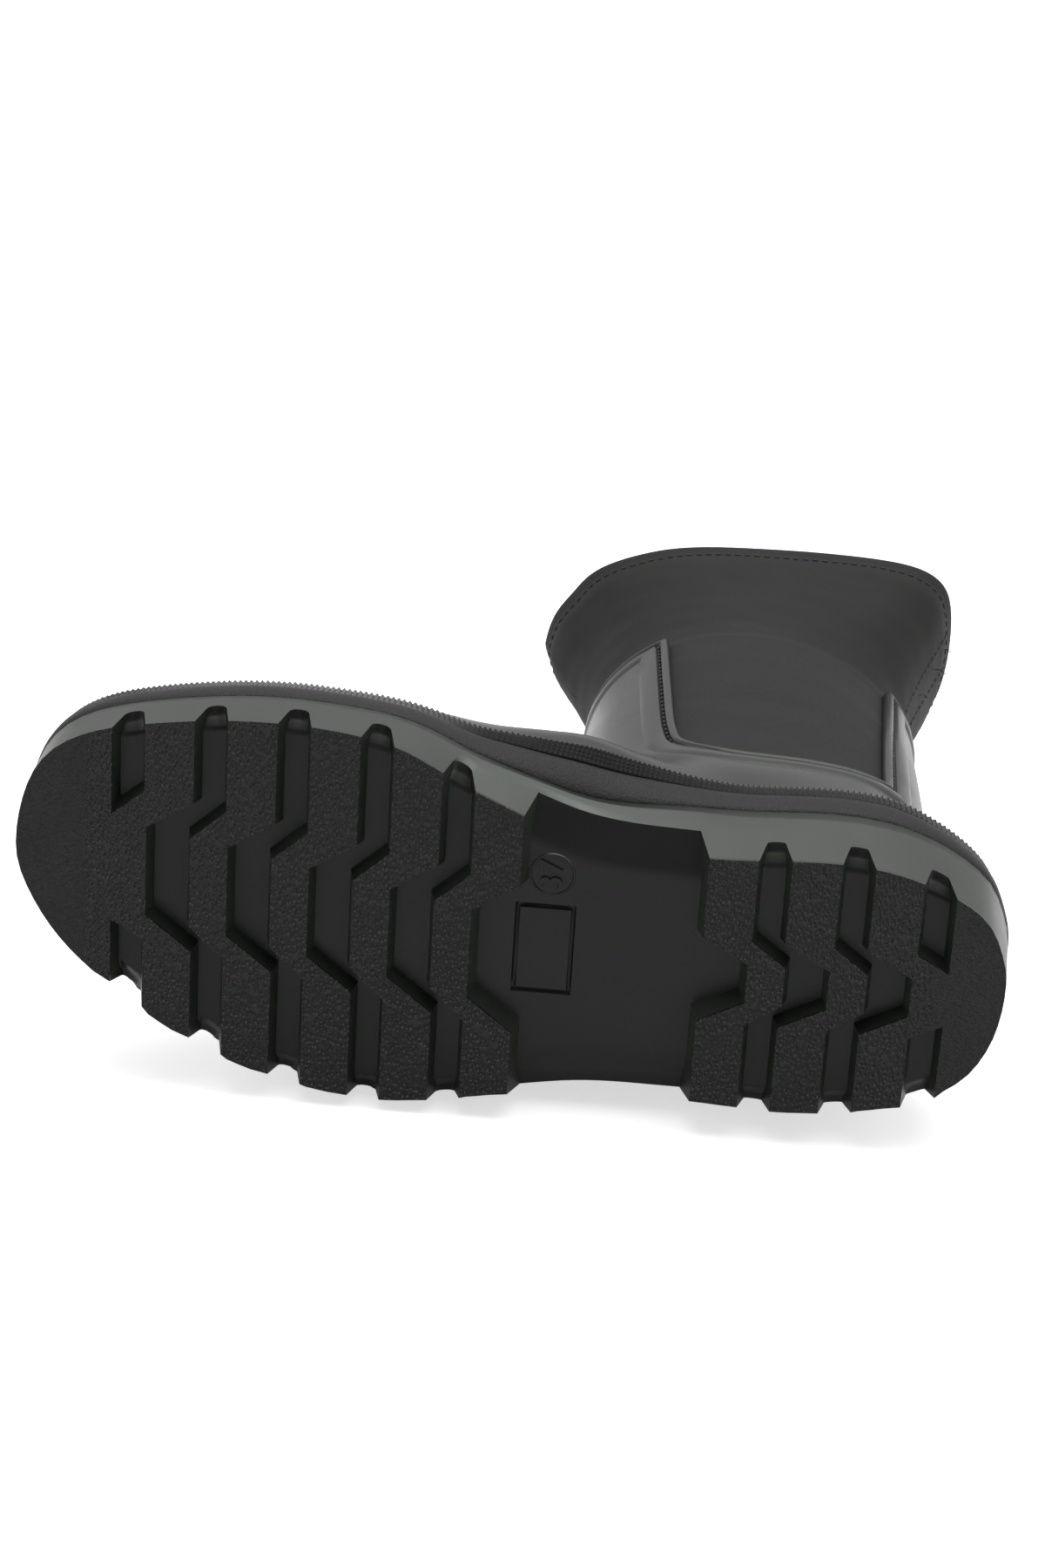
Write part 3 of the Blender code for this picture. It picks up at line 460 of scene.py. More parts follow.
class SoleBuilder:
    # the tread as a flat layout of blocks and grooves; the blocks are then drawn down to the ground
    def __init__(self):
        self.build = bmesh.new()
        self.pin = self.build.verts.layers.int.new("pin")
        self.ground = {}
        self.along = {}
        self.blocks = []

    def vert(self, base, ground=None, along=None):
        made = self.build.verts.new(base)
        made[self.pin] = len(self.ground) + 1
        self.ground[made[self.pin]] = ground
        self.along[made[self.pin]] = along
        return made

    def wallVert(self, y, z, side, inward, corner):
        # a point inwards from the sidewall; at a groove's corner it also has its place on the ground
        along = outline.alongAt(y, side)
        ground = None
        if corner is not None:
            ground = Vector((outline.point(outline.alongAt(corner, side))[0] - side * inward, corner, 0.0))
        base = (outline.wall(along, z).x - side * inward, y, z)
        return self.vert(base, ground, along if inward == 0 else None)

    def face(self, verts):
        return self.build.faces.new(verts)

    def rampEnd(self, yFront, yBack, side, inner, rise, edge):
        # rows of points from the sidewall inwards, across a groove from its front wall to its back wall
        rows = []
        count, (arch, sharpness) = sole["across"], sole["rampRound"]
        for inward, top, low in zip(inner, rise, edge):
            row = []
            for k in range(count + 1):
                t = (1 - math.cos(math.pi * k / count)) / 2
                z = mix(low, top, (1 - abs(2 * t - 1) ** arch) ** sharpness)
                front = yFront + sole["draft"] * low
                back = yBack - sole["draft"] * low
                corner = {0: yFront, count: yBack}.get(k)
                row.append(self.wallVert(mix(front, back, t), z, side, inward, corner))
            rows.append(row)
        self.fillRows(rows, side)
        return rows

    def fillRows(self, rows, side):
        for outer, inside in zip(rows, rows[1:]):
            for k in range(len(outer) - 1):
                quad = [outer[k], outer[k + 1], inside[k + 1], inside[k]]
                self.face(quad if side < 0 else quad[::-1])

    def wallPath(self, ends, column, knees):
        # one wall of a groove, from the sidewall on the inner side to the outer
        return [row[column] for row in ends[1]] + knees + [row[column] for row in ends[-1][::-1]]

    def knees(self, side, middle, inHeel, way, depth):
        # the four knee points of one groove wall, from the inner side of the foot to the outer
        outerKnees, innerKnees = kneeXs(side, inHeel), kneeXs(middle, inHeel)
        path = [(0.1, side), (outerKnees[0], side), (innerKnees[1], middle),
                (innerKnees[2], middle), (outerKnees[3], side), (-0.1, side)]
        moved = offsetPath(path, -way * sole["draft"] * depth)[1:-1]
        return [self.vert((b.x, b.y, depth), Vector((*g, 0.0))) for b, g in zip(moved, path[1:-1])]

    def groove(self, side, inHeel):
        # a chevron groove across the whole tread; returns its two walls as paths
        back = side + plan["sideGroove"]
        chevron = plan["chevron"] * (1 if inHeel else -1)
        spare = plan["middleSpare"]
        edge = sole["heelRampEdge"] if inHeel else sole["rampEdge"]
        ends = {s: self.rampEnd(side, back, s, sole["rampIn"], sole["rampMiddle"], edge) for s in (1, -1)}
        depth = sole["grooveDepth"]
        front = self.knees(side, side + chevron - spare, inHeel, 1, depth)
        rear = self.knees(back, back + chevron + spare, inHeel, -1, depth)
        medial, lateral = ends[1][-1], ends[-1][-1]
        self.face(medial + rear + lateral[::-1] + front[::-1])
        return self.wallPath(ends, 0, front), self.wallPath(ends, -1, rear)

    def notch(self, side, inHeel, foot):
        # a groove that enters from one side only, with a slanting inner end
        back = side + plan["sideGroove"]
        edge = sole["heelRampEdge"] if inHeel else sole["rampEdge"]
        rows = self.rampEnd(side, back, foot, sole["rampIn"], sole["rampMiddle"], edge)
        depth = sole["grooveDepth"]
        column, inner = (0, 1) if foot > 0 else (3, 2)
        knees = kneeXs(side if inHeel else back, inHeel)
        slant = (knees[inner] - knees[column]) / (plan["chevron"] + plan["middleSpare"])
        far = knees[column] + slant * plan["sideGroove"]
        ends = [(knees[column], side), (far, back)] if inHeel else [(far, side), (knees[column], back)]
        path = [(foot * 0.1, side), *ends, (foot * 0.1, back)]
        moved = offsetPath(path, -foot * sole["draft"] * depth)[1:-1]
        made = [self.vert((b.x, b.y, depth), Vector((*g, 0.0))) for b, g in zip(moved, ends)]
        floor = rows[-1] + made[::-1]
        self.face(floor if foot > 0 else floor[::-1])
        return [row[0] for row in rows] + made + [row[-1] for row in rows[::-1]]

    def waist(self):
        # the arch between forefoot and heel, with long sloping sides
        front, back = plan["waistStart"], plan["heelBreast"]
        depth = sole["waistDepth"]
        ends = {}
        for s in (1, -1):
            rows = []
            for inward, z in zip(sole["waistIn"], sole["waistRise"]):
                row = []
                count = sole["waistAcross"]
                for k in range(count + 1):
                    y = mix(front + sole["draft"] * z, back - sole["draft"] * z, k / count)
                    row.append(self.wallVert(y, z, s, inward, {0: front, count: back}.get(k)))
                rows.append(row)
            self.fillRows(rows, s)
            ends[s] = rows
        spare = plan["middleSpare"]
        near = self.knees(front, front - plan["chevron"] - spare, False, 1, depth)
        far = self.knees(back, back + plan["chevron"] + spare, True, -1, depth)
        self.face(ends[1][-1] + far + ends[-1][-1][::-1] + near[::-1])
        return self.wallPath(ends, 0, near), self.wallPath(ends, -1, far)

    def arc(self, first, last):
        # outline points between two groove corners, going on round the boot
        start, end = self.along[first[self.pin]], self.along[last[self.pin]]
        if end < start:
            end += outline.length
        count = max(2, round((end - start) / sole["lugStep"]))
        made = []
        for k in range(1, count):
            along = mix(start, end, k / count)
            z = mix(first.co.z, last.co.z, k / count)
            p = outline.point(along)
            made.append(self.vert(outline.wall(along, z), Vector((*p, 0.0)), along))
        # the ground outline keeps the same spacing between the block's own corners
        low, high = (outline.alongAt(self.ground[v[self.pin]].y, 1 if v.co.x > 0 else -1) for v in (first, last))
        for k, v in enumerate(made, 1):
            lowAlong, highAlong = low, high if high > low else high + outline.length
            p = outline.point(mix(lowAlong, highAlong, k / count))
            self.ground[v[self.pin]] = Vector((*p, 0.0))
        return made

    def block(self, *paths):
        # a block bounded by groove walls, joined by arcs of the outline where two walls end
        loop = []
        for path, after in zip(paths, paths[1:] + paths[:1]):
            loop += path + self.arc(path[-1], after[0])
        self.blocks.append(self.face(loop))


def makeSole():
    # corners are met in the order medial side first, towards the heel, as the outline runs
    maker = SoleBuilder()
    build = maker.build
    first = plan["firstGroove"]
    toeMedial = maker.notch(first, False, 1)
    toeLateral = maker.notch(first, False, -1)
    grooves = [maker.groove(first + k * plan["pitch"], False) for k in range(1, 5)]
    waistFront, waistBack = maker.waist()
    heelGrooves = [maker.groove(plan["heelGroove"] + k * plan["pitch"], True) for k in range(2)]
    last = plan["heelGroove"] + 2 * plan["pitch"]
    heelMedial = maker.notch(last, True, 1)
    heelLateral = maker.notch(last, True, -1)
    maker.block(toeMedial, grooves[0][0], toeLateral[::-1])
    walls = [wall for groove in [*grooves, (waistFront, waistBack), *heelGrooves] for wall in groove][1:-1]
    for near, far in zip(walls[::2], walls[1::2]):
        maker.block(near[::-1], far)
    maker.block(heelGrooves[-1][1][::-1], heelMedial, heelLateral[::-1])

    # blocks down to the ground
    faces = set(maker.blocks)
    edges = {e for f in faces for e in f.edges}
    verts = {v for f in faces for v in f.verts}
    grown = bmesh.ops.extrude_face_region(build, geom=list(faces) + list(edges) + list(verts))["geom"]
    for v in vertsOf(grown):
        v.co = maker.ground[v[maker.pin]]

    # sidewall up to the rim, then the ledge and the cup
    border = openEdges(build.edges)
    rows = sole["wallRows"]
    levels = [("wall", k / rows) for k in range(1, rows + 1)] + [("ledge", 0), ("cup", 0)]
    lows = {v[maker.pin]: v.co.z for e in border for v in e.verts}
    for kind, share in levels:
        grown = bmesh.ops.extrude_edge_only(build, edges=border)["geom"]
        border = openEdges(grown)
        for v in {v for e in border for v in e.verts}:
            along = maker.along[v[maker.pin]]
            top = soleHeight(outline.point(along)[1])
            if kind == "wall":
                v.co = outline.wall(along, mix(lows[v[maker.pin]], top, share))
            else:
                v.co = outline.wall(along, top, -sole["rimWall"])
                v.co.z = top - (sole["cupDepth"] if kind == "cup" else 0)
    bmesh.ops.triangle_fill(build, edges=border, use_beauty=True)
    bmesh.ops.recalc_face_normals(build, faces=build.faces)
    limit = math.radians(sole["sharpDegrees"])
    sharp = [e for e in build.edges if len(e.link_faces) == 2 and e.calc_face_angle(0) > limit
             and max(v.co.z for v in e.verts) < soleHeight(e.verts[0].co.y) - 0.001]
    bmesh.ops.bevel(build, geom=sharp, affect="EDGES", offset=sole["bevel"], segments=2, profile=0.5,
                    material=-1, clamp_overlap=True)
    return build


def soleRubber():
    # smooth satin walls; a pebbled skin on the faces that meet the ground, wavy on the end blocks
    made, tree, shader = newMaterial("soleRubber", (0.009, 0.0095, 0.009), 0.36,
                                     **{"Specular Tint": (0.93, 1.0, 0.93, 1.0)})
    point = objectPoint(tree)
    ground = stretch(tree, part(tree, point, "Z"), 0.0007, 0.0001)
    fromMiddle = combine(tree, "ABSOLUTE", combine(tree, "ADD", part(tree, point, "Y"), 0.0008), 0)
    ends = combine(tree, "GREATER_THAN", fromMiddle, 0.1145)
    dots = addNode(tree, "TexVoronoi", "Distance", {"Scale": 850, "Vector": point}, feature="F1")
    waves = noise(tree, objectPoint(tree, (1.0, 0.45, 1.0)), 1250, 2)
    skinHeight = addNode(tree, "Mix", "Result", {
        "Factor": ends, "A": stretch(tree, dots, 0.1, 0.75), "B": stretch(tree, waves, 0.3, 0.7)})
    height = combine(tree, "MULTIPLY", skinHeight, ground)
    smooth = bump(tree, noise(tree, point, 2600, 2), 0.00002, 0.6)
    tree.links.new(bump(tree, height, 0.0011, 1.0, smooth), shader.inputs["Normal"])
    cloud = noise(tree, point, 45, 4)
    uneven = combine(tree, "SUBTRACT", cloud, stretch(tree, ground, 0, 1, 0, 0.12))
    tree.links.new(stretch(tree, uneven, 0.2, 0.8, 0.27, 0.44), shader.inputs["Roughness"])
    # the underside is duller than the smooth walls
    wall = stretch(tree, part(tree, addNode(tree, "NewGeometry", "Normal"), "Z"), -0.9, -0.3)
    sheen = combine(tree, "ADD", stretch(tree, wall, 0, 1, 0.24, 0.80), stretch(tree, ground, 0, 1, 0, 0.04))
    tree.links.new(sheen, shader.inputs["Specular IOR Level"])
    # painted reflection: the base colour is lighter and greener on the sidewalls and other faces turned to the
    # side, standing in for the bright surroundings they reflect; the cloud adds a random mottle on top
    paintedSheenAndMottle = combine(tree, "ADD", stretch(tree, wall, 0, 1, 0.0, 0.8), stretch(tree, cloud, 0.3, 0.7, 0.0, 0.2))
    colour = tint(tree, paintedSheenAndMottle, (0.0085, 0.0080, 0.0086), (0.0122, 0.0152, 0.0122))
    tree.links.new(colour, shader.inputs["Base Color"])
    return made


plate = {"middle": (-0.0005, 0.0050), "half": (0.01325, 0.00825), "width": 0.0014, "depth": 0.0013}


def archFloor(build):
    return [f for f in build.faces if abs(f.calc_center_median().z - sole["waistDepth"]) < 0.0002
            and abs(f.normal.z) > 0.99]


def cutPlateGroove(build):
    # scores the flat floor of the arch along the groove's edges, then sinks the ring between them
    (x, y), (a, b), w = plate["middle"], plate["half"], plate["width"]
    for axis, centre, reach in ((0, x, a), (1, y, b)):
        for offset in (-reach, -reach + w, reach - w, reach):
            floor = archFloor(build)
            parts = {*floor, *[e for f in floor for e in f.edges], *[v for f in floor for v in f.verts]}
            spot, way = [0, 0, 0], [0, 0, 0]
            spot[axis], way[axis] = centre + offset, 1
            bmesh.ops.bisect_plane(build, geom=list(parts), plane_co=spot, plane_no=way, dist=1e-7)
            build.normal_update()
    ring = []
    for face in archFloor(build):
        middle = face.calc_center_median()
        u, v = abs(middle.x - x), abs(middle.y - y)
        if u < a and v < b and (u > a - w or v > b - w):
            ring.append(face)
    grown = bmesh.ops.extrude_face_region(build, geom=ring)["geom"]
    bmesh.ops.delete(build, geom=ring, context="FACES_ONLY")
    bmesh.ops.translate(build, vec=(0, 0, plate["depth"]), verts=vertsOf(grown))
    bmesh.ops.recalc_face_normals(build, faces=build.faces)
    return build


solePiece = makePiece("lugSole", cutPlateGroove(makeSole()), ["outsole"], soleRubber())
crisp(solePiece)


# a size mark in a ring, raised on the floor of the arch

mark = {
    "size": "37", "ringPlace": (0.0215, 0.0062), "ringRadius": 0.0059, "line": 0.00038,
    "digitHeight": 0.0064, "fontShare": 1.38, "lift": 0.00065,
}


def makeSizeMark():
    build = bmesh.new()
    floor = sole["waistDepth"]
    x, y = mark["ringPlace"]
    sides = [math.pi / 3 * k for k in range(6)]
    rim = [build.verts.new((x + mark["ringRadius"] + mark["line"] * math.cos(turn), y,
                            floor + mark["line"] * math.sin(turn))) for turn in sides]
    profile = [build.edges.new(pair) for pair in ringPairs(rim)]
    bmesh.ops.spin(build, geom=list(build.verts) + profile, cent=(x, y, 0), axis=(0, 0, 1), steps=48,
                   angle=2 * math.pi, use_merge=True)
    bmesh.ops.remove_doubles(build, verts=build.verts, dist=1e-6)
    text = bpy.data.curves.new("sizeDigits", "FONT")
    text.body = mark["size"]
    text.size = mark["digitHeight"] * mark["fontShare"]
    text.align_x = "CENTER"
    text.align_y = "CENTER"
    text.extrude = mark["lift"]
    digits = bpy.data.objects.new("sizeDigits", text)
    bpy.context.scene.collection.objects.link(digits)
    bpy.context.view_layer.update()
    mesh = bpy.data.meshes.new_from_object(digits)
    # the digits read upwards from the outer side of the foot, seen from below
    axes = Matrix(((1, 0, 0), (0, -1, 0), (0, 0, -1))).to_4x4()
    mesh.transform(Matrix.Translation((x, y, floor)) @ axes)
    build.from_mesh(mesh)
    bpy.data.objects.remove(digits)
    bmesh.ops.recalc_face_normals(build, faces=build.faces)
    return build


makePiece("sizeMark", makeSizeMark(), [], solePiece.data.materials[0], False)


# surface of the upper: a grid of rows from the sole's edge to the hem

upper = {
    "columns": 256, "footRows": 34, "tabRows": 30, "hemRows": 34,
    "inset": 0.0058, "bandHeight": 0.0097, "stripHeight": 0.0056, "gap": 0.0003,
    "ankleHeight": 0.066, "throatHeight": 0.122, "tabTop": 0.172, "hemHeight": 0.234,
    "ankle": (0.003, 0.1110, 0.0355), "tab": (0.0075, 0.1110, 0.0405), "hem": (-0.0140, 0.1300, 0.0500),
    "centre": -0.0010, "egg": 0.06, "frontFullness": 2.0, "backFullness": (3.4, 2.1, 2.8),
    "hemTwist": 0.0100, "medialHem": (2.5, 5.6), "lateralHem": (1.25, 1.7), "lateralHalf": 0.86,
    "medialBack": 0.0042,
    # how far out the foot leans over the arch, where, and over what length
    "archLean": (0.0088, 0.008, 0.026), "rearLean": 0.0026, "rearEnd": 0.125, "rearFade": 0.03,
    # between these heights the lean fades out; the shell leans more than its foot
    "leanFoot": 0.046, "leanTop": 0.084, "shellLean": 1.25, "shellStart": 0.034, "shellFade": 0.012,
    # how deep, at what height and how tall the heel is nipped, and where along the foot that starts and is full
    "heelNip": (0.0032, 0.050, 0.015), "nipStart": 0.085, "nipLength": 0.025,
    "fan": 2.2, "wallRise": 0.42, "throatDrop": 0.46, "throatPower": 5, "hemFlare": 1.7,
    # the flare eases off by this much over the last share of the leg
    "flareEase": 0.12, "flareEnd": 0.2,
    # smoothing turns and their share: the crest of the instep, then round the rings up to the hem
    "crestTurns": 60, "crestShare": 0.8, "hemTurns": 36, "hemShare": 0.6,
}


def legOval(z, angle, side):
    low = ease((z - upper["ankleHeight"]) / (upper["tabTop"] - upper["ankleHeight"]))
    top = max(z - upper["tabTop"], 0.0) / (upper["hemHeight"] - upper["tabTop"])
    top = top ** upper["hemFlare"] * (1 - upper["flareEase"] * ease(1 - (1 - top) / upper["flareEnd"]))
    front, back, half = (mix(mix(a, t, low), h, top) for a, t, h in zip(upper["ankle"], upper["tab"], upper["hem"]))
    a, t, h = upper["backFullness"]
    behind = mix(mix(a, t, low), h, top)
    half *= 1 if side > 0 else mix(1, upper["lateralHalf"], top)
    half += upper["medialBack"] * top * ease((angle - 1.0) / 1.2) if side > 0 else 0
    hemAhead, hemBehind = upper["medialHem"] if side > 0 else upper["lateralHem"]
    ahead, behind = mix(upper["frontFullness"], hemAhead, top), mix(behind, hemBehind, top)
    share = ease((angle - 1.1) / 0.9)
    power = 2 / mix(ahead, behind, share)
    across = abs(math.sin(angle)) ** power * (1 + upper["egg"] * math.cos(angle))
    along = math.copysign(abs(math.cos(angle)) ** power, math.cos(angle))
    middle = upper["centre"] + upper["hemTwist"] * top * math.cos(angle) ** 2
    x = middle + (side * half - middle + upper["centre"]) * across
    return np.array([x, (front + back) / 2 - (back - front) / 2 * along, z])


def seamHeight(angle):
    return mix(upper["ankleHeight"], upper["throatHeight"], ((1 + math.cos(angle)) / 2) ** upper["throatPower"])


def archLean(y):
    reach, where, wide = upper["archLean"]
    fade = upper["rearFade"]
    rear = np.clip(y / fade, 0, 1) * np.clip((upper["rearEnd"] - y) / fade, 0, 1)
    return reach * np.exp(-((y - where) / wide) ** 2) + upper["rearLean"] * rear


def bezier(a, b, c, d, t):
    return (1 - t) ** 3 * a + 3 * (1 - t) ** 2 * t * b + 3 * (1 - t) * t ** 2 * c + t ** 3 * d


def upperGrid():
    # rows of points on the outside of the upper; the first row is the foot of the wall
    count = upper["columns"]
    feet = [np.array(p) for p in rimLoop(count, -upper["inset"])]
    medialEnd = int(np.argmax([p[1] for p in feet]))
    wallLift = upper["bandHeight"] + upper["stripHeight"] + 3 * upper["gap"]
    columns = [None] * count
    medial, lateral = range(medialEnd + 1), [k % count for k in range(count, medialEnd - 1, -1)]
    for side, order in ((1, medial), (-1, lateral)):
        steps = [np.linalg.norm(feet[b][:2] - feet[a][:2]) for a, b in zip(order, order[1:])]
        shares = np.concatenate([[0.0], np.cumsum(steps)]) / sum(steps)
        for k, share in zip(order, shares):
            angle = math.pi * share ** upper["fan"]
            foot = feet[k] + np.array([0, 0, upper["gap"]])
            seam = seamHeight(angle)
            top = legOval(seam, angle, side)
            lean = legOval(seam + 0.004, angle, side) - top
            lean /= np.linalg.norm(lean)
            wall = foot + np.array([0, 0, wallLift])
            rise = top[2] - wall[2]
            start = wall + np.array([0, 0, upper["wallRise"] * rise])
            end = top - lean * upper["throatDrop"] * rise
            points = [foot]
            points += [bezier(wall, start, end, top, n / upper["footRows"]) for n in range(upper["footRows"] + 1)]
            for low, high, rows in ((seam, upper["tabTop"], upper["tabRows"]),
                                    (upper["tabTop"], upper["hemHeight"], upper["hemRows"])):
                points += [legOval(mix(low, high, n / rows), angle, side) for n in range(1, rows + 1)]
            columns[k] = points
    return np.array(columns).transpose(1, 0, 2)


def gridNormals(grid):
    around = np.roll(grid, -1, axis=1) - np.roll(grid, 1, axis=1)
    upward = np.empty_like(grid)
    upward[1:-1] = grid[2:] - grid[:-2]
    upward[0], upward[-1] = grid[1] - grid[0], grid[-1] - grid[-2]
    normals = np.cross(around, upward)
    return normals / np.linalg.norm(normals, axis=2)[:, :, None]


seamRow = upper["footRows"] + 1
tabRow = seamRow + upper["tabRows"]
hemRow = tabRow + upper["hemRows"]
upperShape = upperGrid()
# rounds the crest of the instep, where the columns crowd together
for turn in range(upper["crestTurns"]):
    smooth = (np.roll(upperShape, 1, axis=1) + np.roll(upperShape, -1, axis=1)) / 2
    smooth[1:-1] = (smooth[1:-1] * 2 + upperShape[2:] + upperShape[:-2]) / 4
    weight = np.zeros(len(upperShape))
    weight[3:tabRow - 4] = [math.sin(math.pi * k / (tabRow - 8)) for k in range(tabRow - 7)]
    near = np.clip((0.075 - np.abs(upperShape[..., 1] + 0.005)) / 0.05, 0, 1)
    upperShape += (smooth - upperShape) * weight[:, None, None] * near[..., None] * upper["crestShare"]


def softShapes(grid):
    # the lean over the arch on the medial side and the nip behind the heel
    out = gridNormals(grid)
    x, y, z = grid[..., 0], grid[..., 1], grid[..., 2]
    smoothEase = np.vectorize(ease)
    lean = archLean(y) * (1 - smoothEase((z - upper["leanFoot"]) / (upper["leanTop"] - upper["leanFoot"])))
    lean *= mix(1, upper["shellLean"], smoothEase((z - upper["shellStart"]) / upper["shellFade"]))
    lean[0] = archLean(y[0]) * 0.5
    lean *= smoothEase(out[..., 0] * 2.0)
    depth, height, spread = upper["heelNip"]
    nip = depth * np.exp(-((z - height) / spread) ** 2) * smoothEase((y - upper["nipStart"]) / upper["nipLength"])
    level = out * np.array([1.0, 1.0, 0.0])
    level /= np.linalg.norm(level, axis=2)[..., None] + 1e-9
    return grid + level * (lean - nip)[..., None]


upperShape = softShapes(upperShape)
for turn in range(upper["hemTurns"]):
    around = (np.roll(upperShape, 1, axis=1) + np.roll(upperShape, -1, axis=1)) / 2
    upperShape[tabRow + 2:] += (around - upperShape)[tabRow + 2:] * upper["hemShare"]
upperOut = gridNormals(upperShape)


def skin(row, out, shape=None):
    low = min(int(row), len(upperShape) - 2)
    base = upperShape if shape is None else shape
    points = base + upperOut * out
    return mix(points[low], points[low + 1], row - low)


def treeOf(rows):
    # the upper's surface, for finding the nearest point of it
    count = upper["columns"]
    points = [Vector(p) for row in rows for p in row]
    faces = [(r * count + k, r * count + (k + 1) % count, (r + 1) * count + (k + 1) % count, (r + 1) * count + k)
             for r in range(len(rows) - 1) for k in range(count)]
    return BVHTree.FromPolygons(points, faces)


# the grained band and the knurled strip on the sidewall's edge, which lean outwards over the arch

band = {
    "columns": 300,
    "profile": ((-0.0040, 0.0003), (-0.0014, 0.0003), (-0.0006, 0.0004), (0.0000, 0.0009), (0.0004, 0.0022),
                (0.0005, 0.0042), (0.0004, 0.0062), (0.0001, 0.0080), (-0.0003, 0.0090), (-0.0010, 0.0096),
                (-0.0022, 0.0098), (-0.0040, 0.0098)),
    "knurlPitch": 0.00150, "knurlRows": 4, "knurlHeight": 0.00090,
    "stripFoot": (-0.0010, 0.0103), "stripTop": (-0.0019, 0.0160), "stripInside": -0.0045,
    # the height above the sole where the lean is full, and how far from the foot's middle line it starts
    "leanHeight": 0.0158, "leanStart": 0.015,
}


def edgeLoop(count, out, above):
    # a loop along the sidewall's top edge, out from it and above it
    found = []
    for k in range(count):
        along = outline.length * k / count
        x, y = outline.point(along)
        top = soleHeight(y)
        lean = archLean(y) * ease(x / band["leanStart"]) * min(max(above / band["leanHeight"], 0.0), 1.0)
        p = outline.wall(along, top, out + lean)
        found.append((p.x, p.y, top + above))
    return found


def makeBand():
    build = bmesh.new()
    loops = [edgeLoop(band["columns"], out, above) for out, above in band["profile"]]
    return closeRing(build, ringsToBuild(build, loops))


def makeStrip():
    build = bmesh.new()
    count = round(outline.length / band["knurlPitch"])
    (footOut, foot), (topOut, top) = band["stripFoot"], band["stripTop"]
    rows = band["knurlRows"]
    loops = [edgeLoop(count, mix(footOut, topOut, k / rows), mix(foot, top, k / rows)) for k in range(rows + 1)]
    ringsToBuild(build, loops)
    build.faces.ensure_lookup_table()
    knurled = list(build.faces)
    edges = [e for e in openEdges(build.edges) if all(v.co.z > soleHeight(v.co.y) + top - 0.001 for v in e.verts)]
    for loop in [edgeLoop(count, band["stripInside"], z) for z in (top, foot)]:
        grown = bmesh.ops.extrude_edge_only(build, edges=edges)["geom"]
        tree = KDTree(len(loop))
        for n, p in enumerate(loop):
            tree.insert((p[0], p[1], 0), n)
        tree.balance()
        for v in vertsOf(grown):
            v.co = loop[tree.find((v.co.x, v.co.y, 0))[1]]
        edges = openEdges(grown)
    bmesh.ops.bridge_loops(build, edges=openEdges(build.edges))
    bmesh.ops.recalc_face_normals(build, faces=build.faces)
    bmesh.ops.poke(build, faces=knurled, offset=band["knurlHeight"], center_mode="MEAN")
    return build


bandRubber = dusty("bandRubber", (0.0050, 0.0052, 0.0048), (0.0085, 0.0088, 0.0080), 0.50, 1500, 0.00030, 0.08,
                   **{"Specular IOR Level": 0.28})
stripRubber = dusty("stripRubber", (0.0120, 0.0124, 0.0118), (0.0180, 0.0184, 0.0175), 0.27, 3000, 0.00002,
                    **{"Specular IOR Level": 0.75})
makePiece("grainedBand", makeBand(), ["foxing_band"], bandRubber)
makePiece("knurledStrip", makeStrip(), ["knurled_strip"], stripRubber, False)


# foot shell: vamp, counter and the two tabs, with a stitched border round the windows

shell = {
    "wall": 0.0025, "collar": 0.0750, "collarDrop": 0.0020, "corner": 0.0180,
    "frontTop": 0.0300, "frontFoot": 0.0350, "backTop": 0.1020, "backFoot": 0.0975,
    "coverage": 0.0045, "step": 0.0009, "insidePoint": (0, 0.03, 0.06),
    # distance in from the edge, height above the shell
    "border": ((-0.0003, -0.0023), (-0.0008, -0.0019), (-0.0009, -0.0006), (-0.0006, 0.00025), (0.0, 0.0006),
               (0.0009, 0.00068), (0.0014, 0.0005), (0.0017, -0.00015), (0.0019, -0.0006), (0.0028, -0.00065),
               (0.0030, -0.0002), (0.0033, 0.00045), (0.0039, 0.00074), (0.0056, 0.00080), (0.0073, 0.00074),
               (0.0082, 0.00052), (0.0091, 0.0001), (0.0103, -0.0003), (0.0105, -0.0018), (0.0050, -0.0024)),
    "groove": (0.00235, -0.00035), "nub": (0.0120, 0.1300, 0.0490), "nubRadius": 0.0011,
}


def windowRuns():
    # the side window's edge as (y, z): down the front tab and back along the collar, then up behind
    foot, corner, collar, top = shell["frontFoot"], shell["corner"], shell["collar"], upper["tabTop"]
    front, backFoot, backTop = shell["frontTop"], shell["backFoot"], shell["backTop"]
    low = collar - shell["collarDrop"]
    first = [(front, top), (mix(front, foot, 0.45), mix(top, collar, 0.4)), (foot, collar + 1.25 * corner),
             (foot + 0.24 * corner, collar + 0.50 * corner), (foot + corner, collar + 0.0006),
             (mix(foot + corner, backFoot, 0.5), collar - 0.0008), (backFoot, low)]
    second = [(backFoot, low), (mix(backFoot, backTop, 0.25), mix(low, top, 0.35)),
              (mix(backFoot, backTop, 0.65), mix(low, top, 0.7)), (backTop, top)]
    return curveThrough(first, 24), curveThrough(second, 24)


outerTree = treeOf(upperShape)


def acrossPoint(y, z, side):
    return outerTree.ray_cast(Vector((side * 0.3, y, z)), Vector((-side, 0, 0)))[0]


def distances(points):
    return np.concatenate([[0.0], np.cumsum(np.linalg.norm(np.diff(points, axis=0), axis=1))])


def readAt(place, lengths, table):
    return np.array([np.interp(place, lengths, table[:, c]) for c in range(3)])


def evenly(points, step):
    points = np.array([tuple(p) for p in points])
    lengths = distances(points)
    count = max(4, round(lengths[-1] / step))
    places = np.linspace(0, lengths[-1], count + 1)
    return readAt(places, lengths, points).T


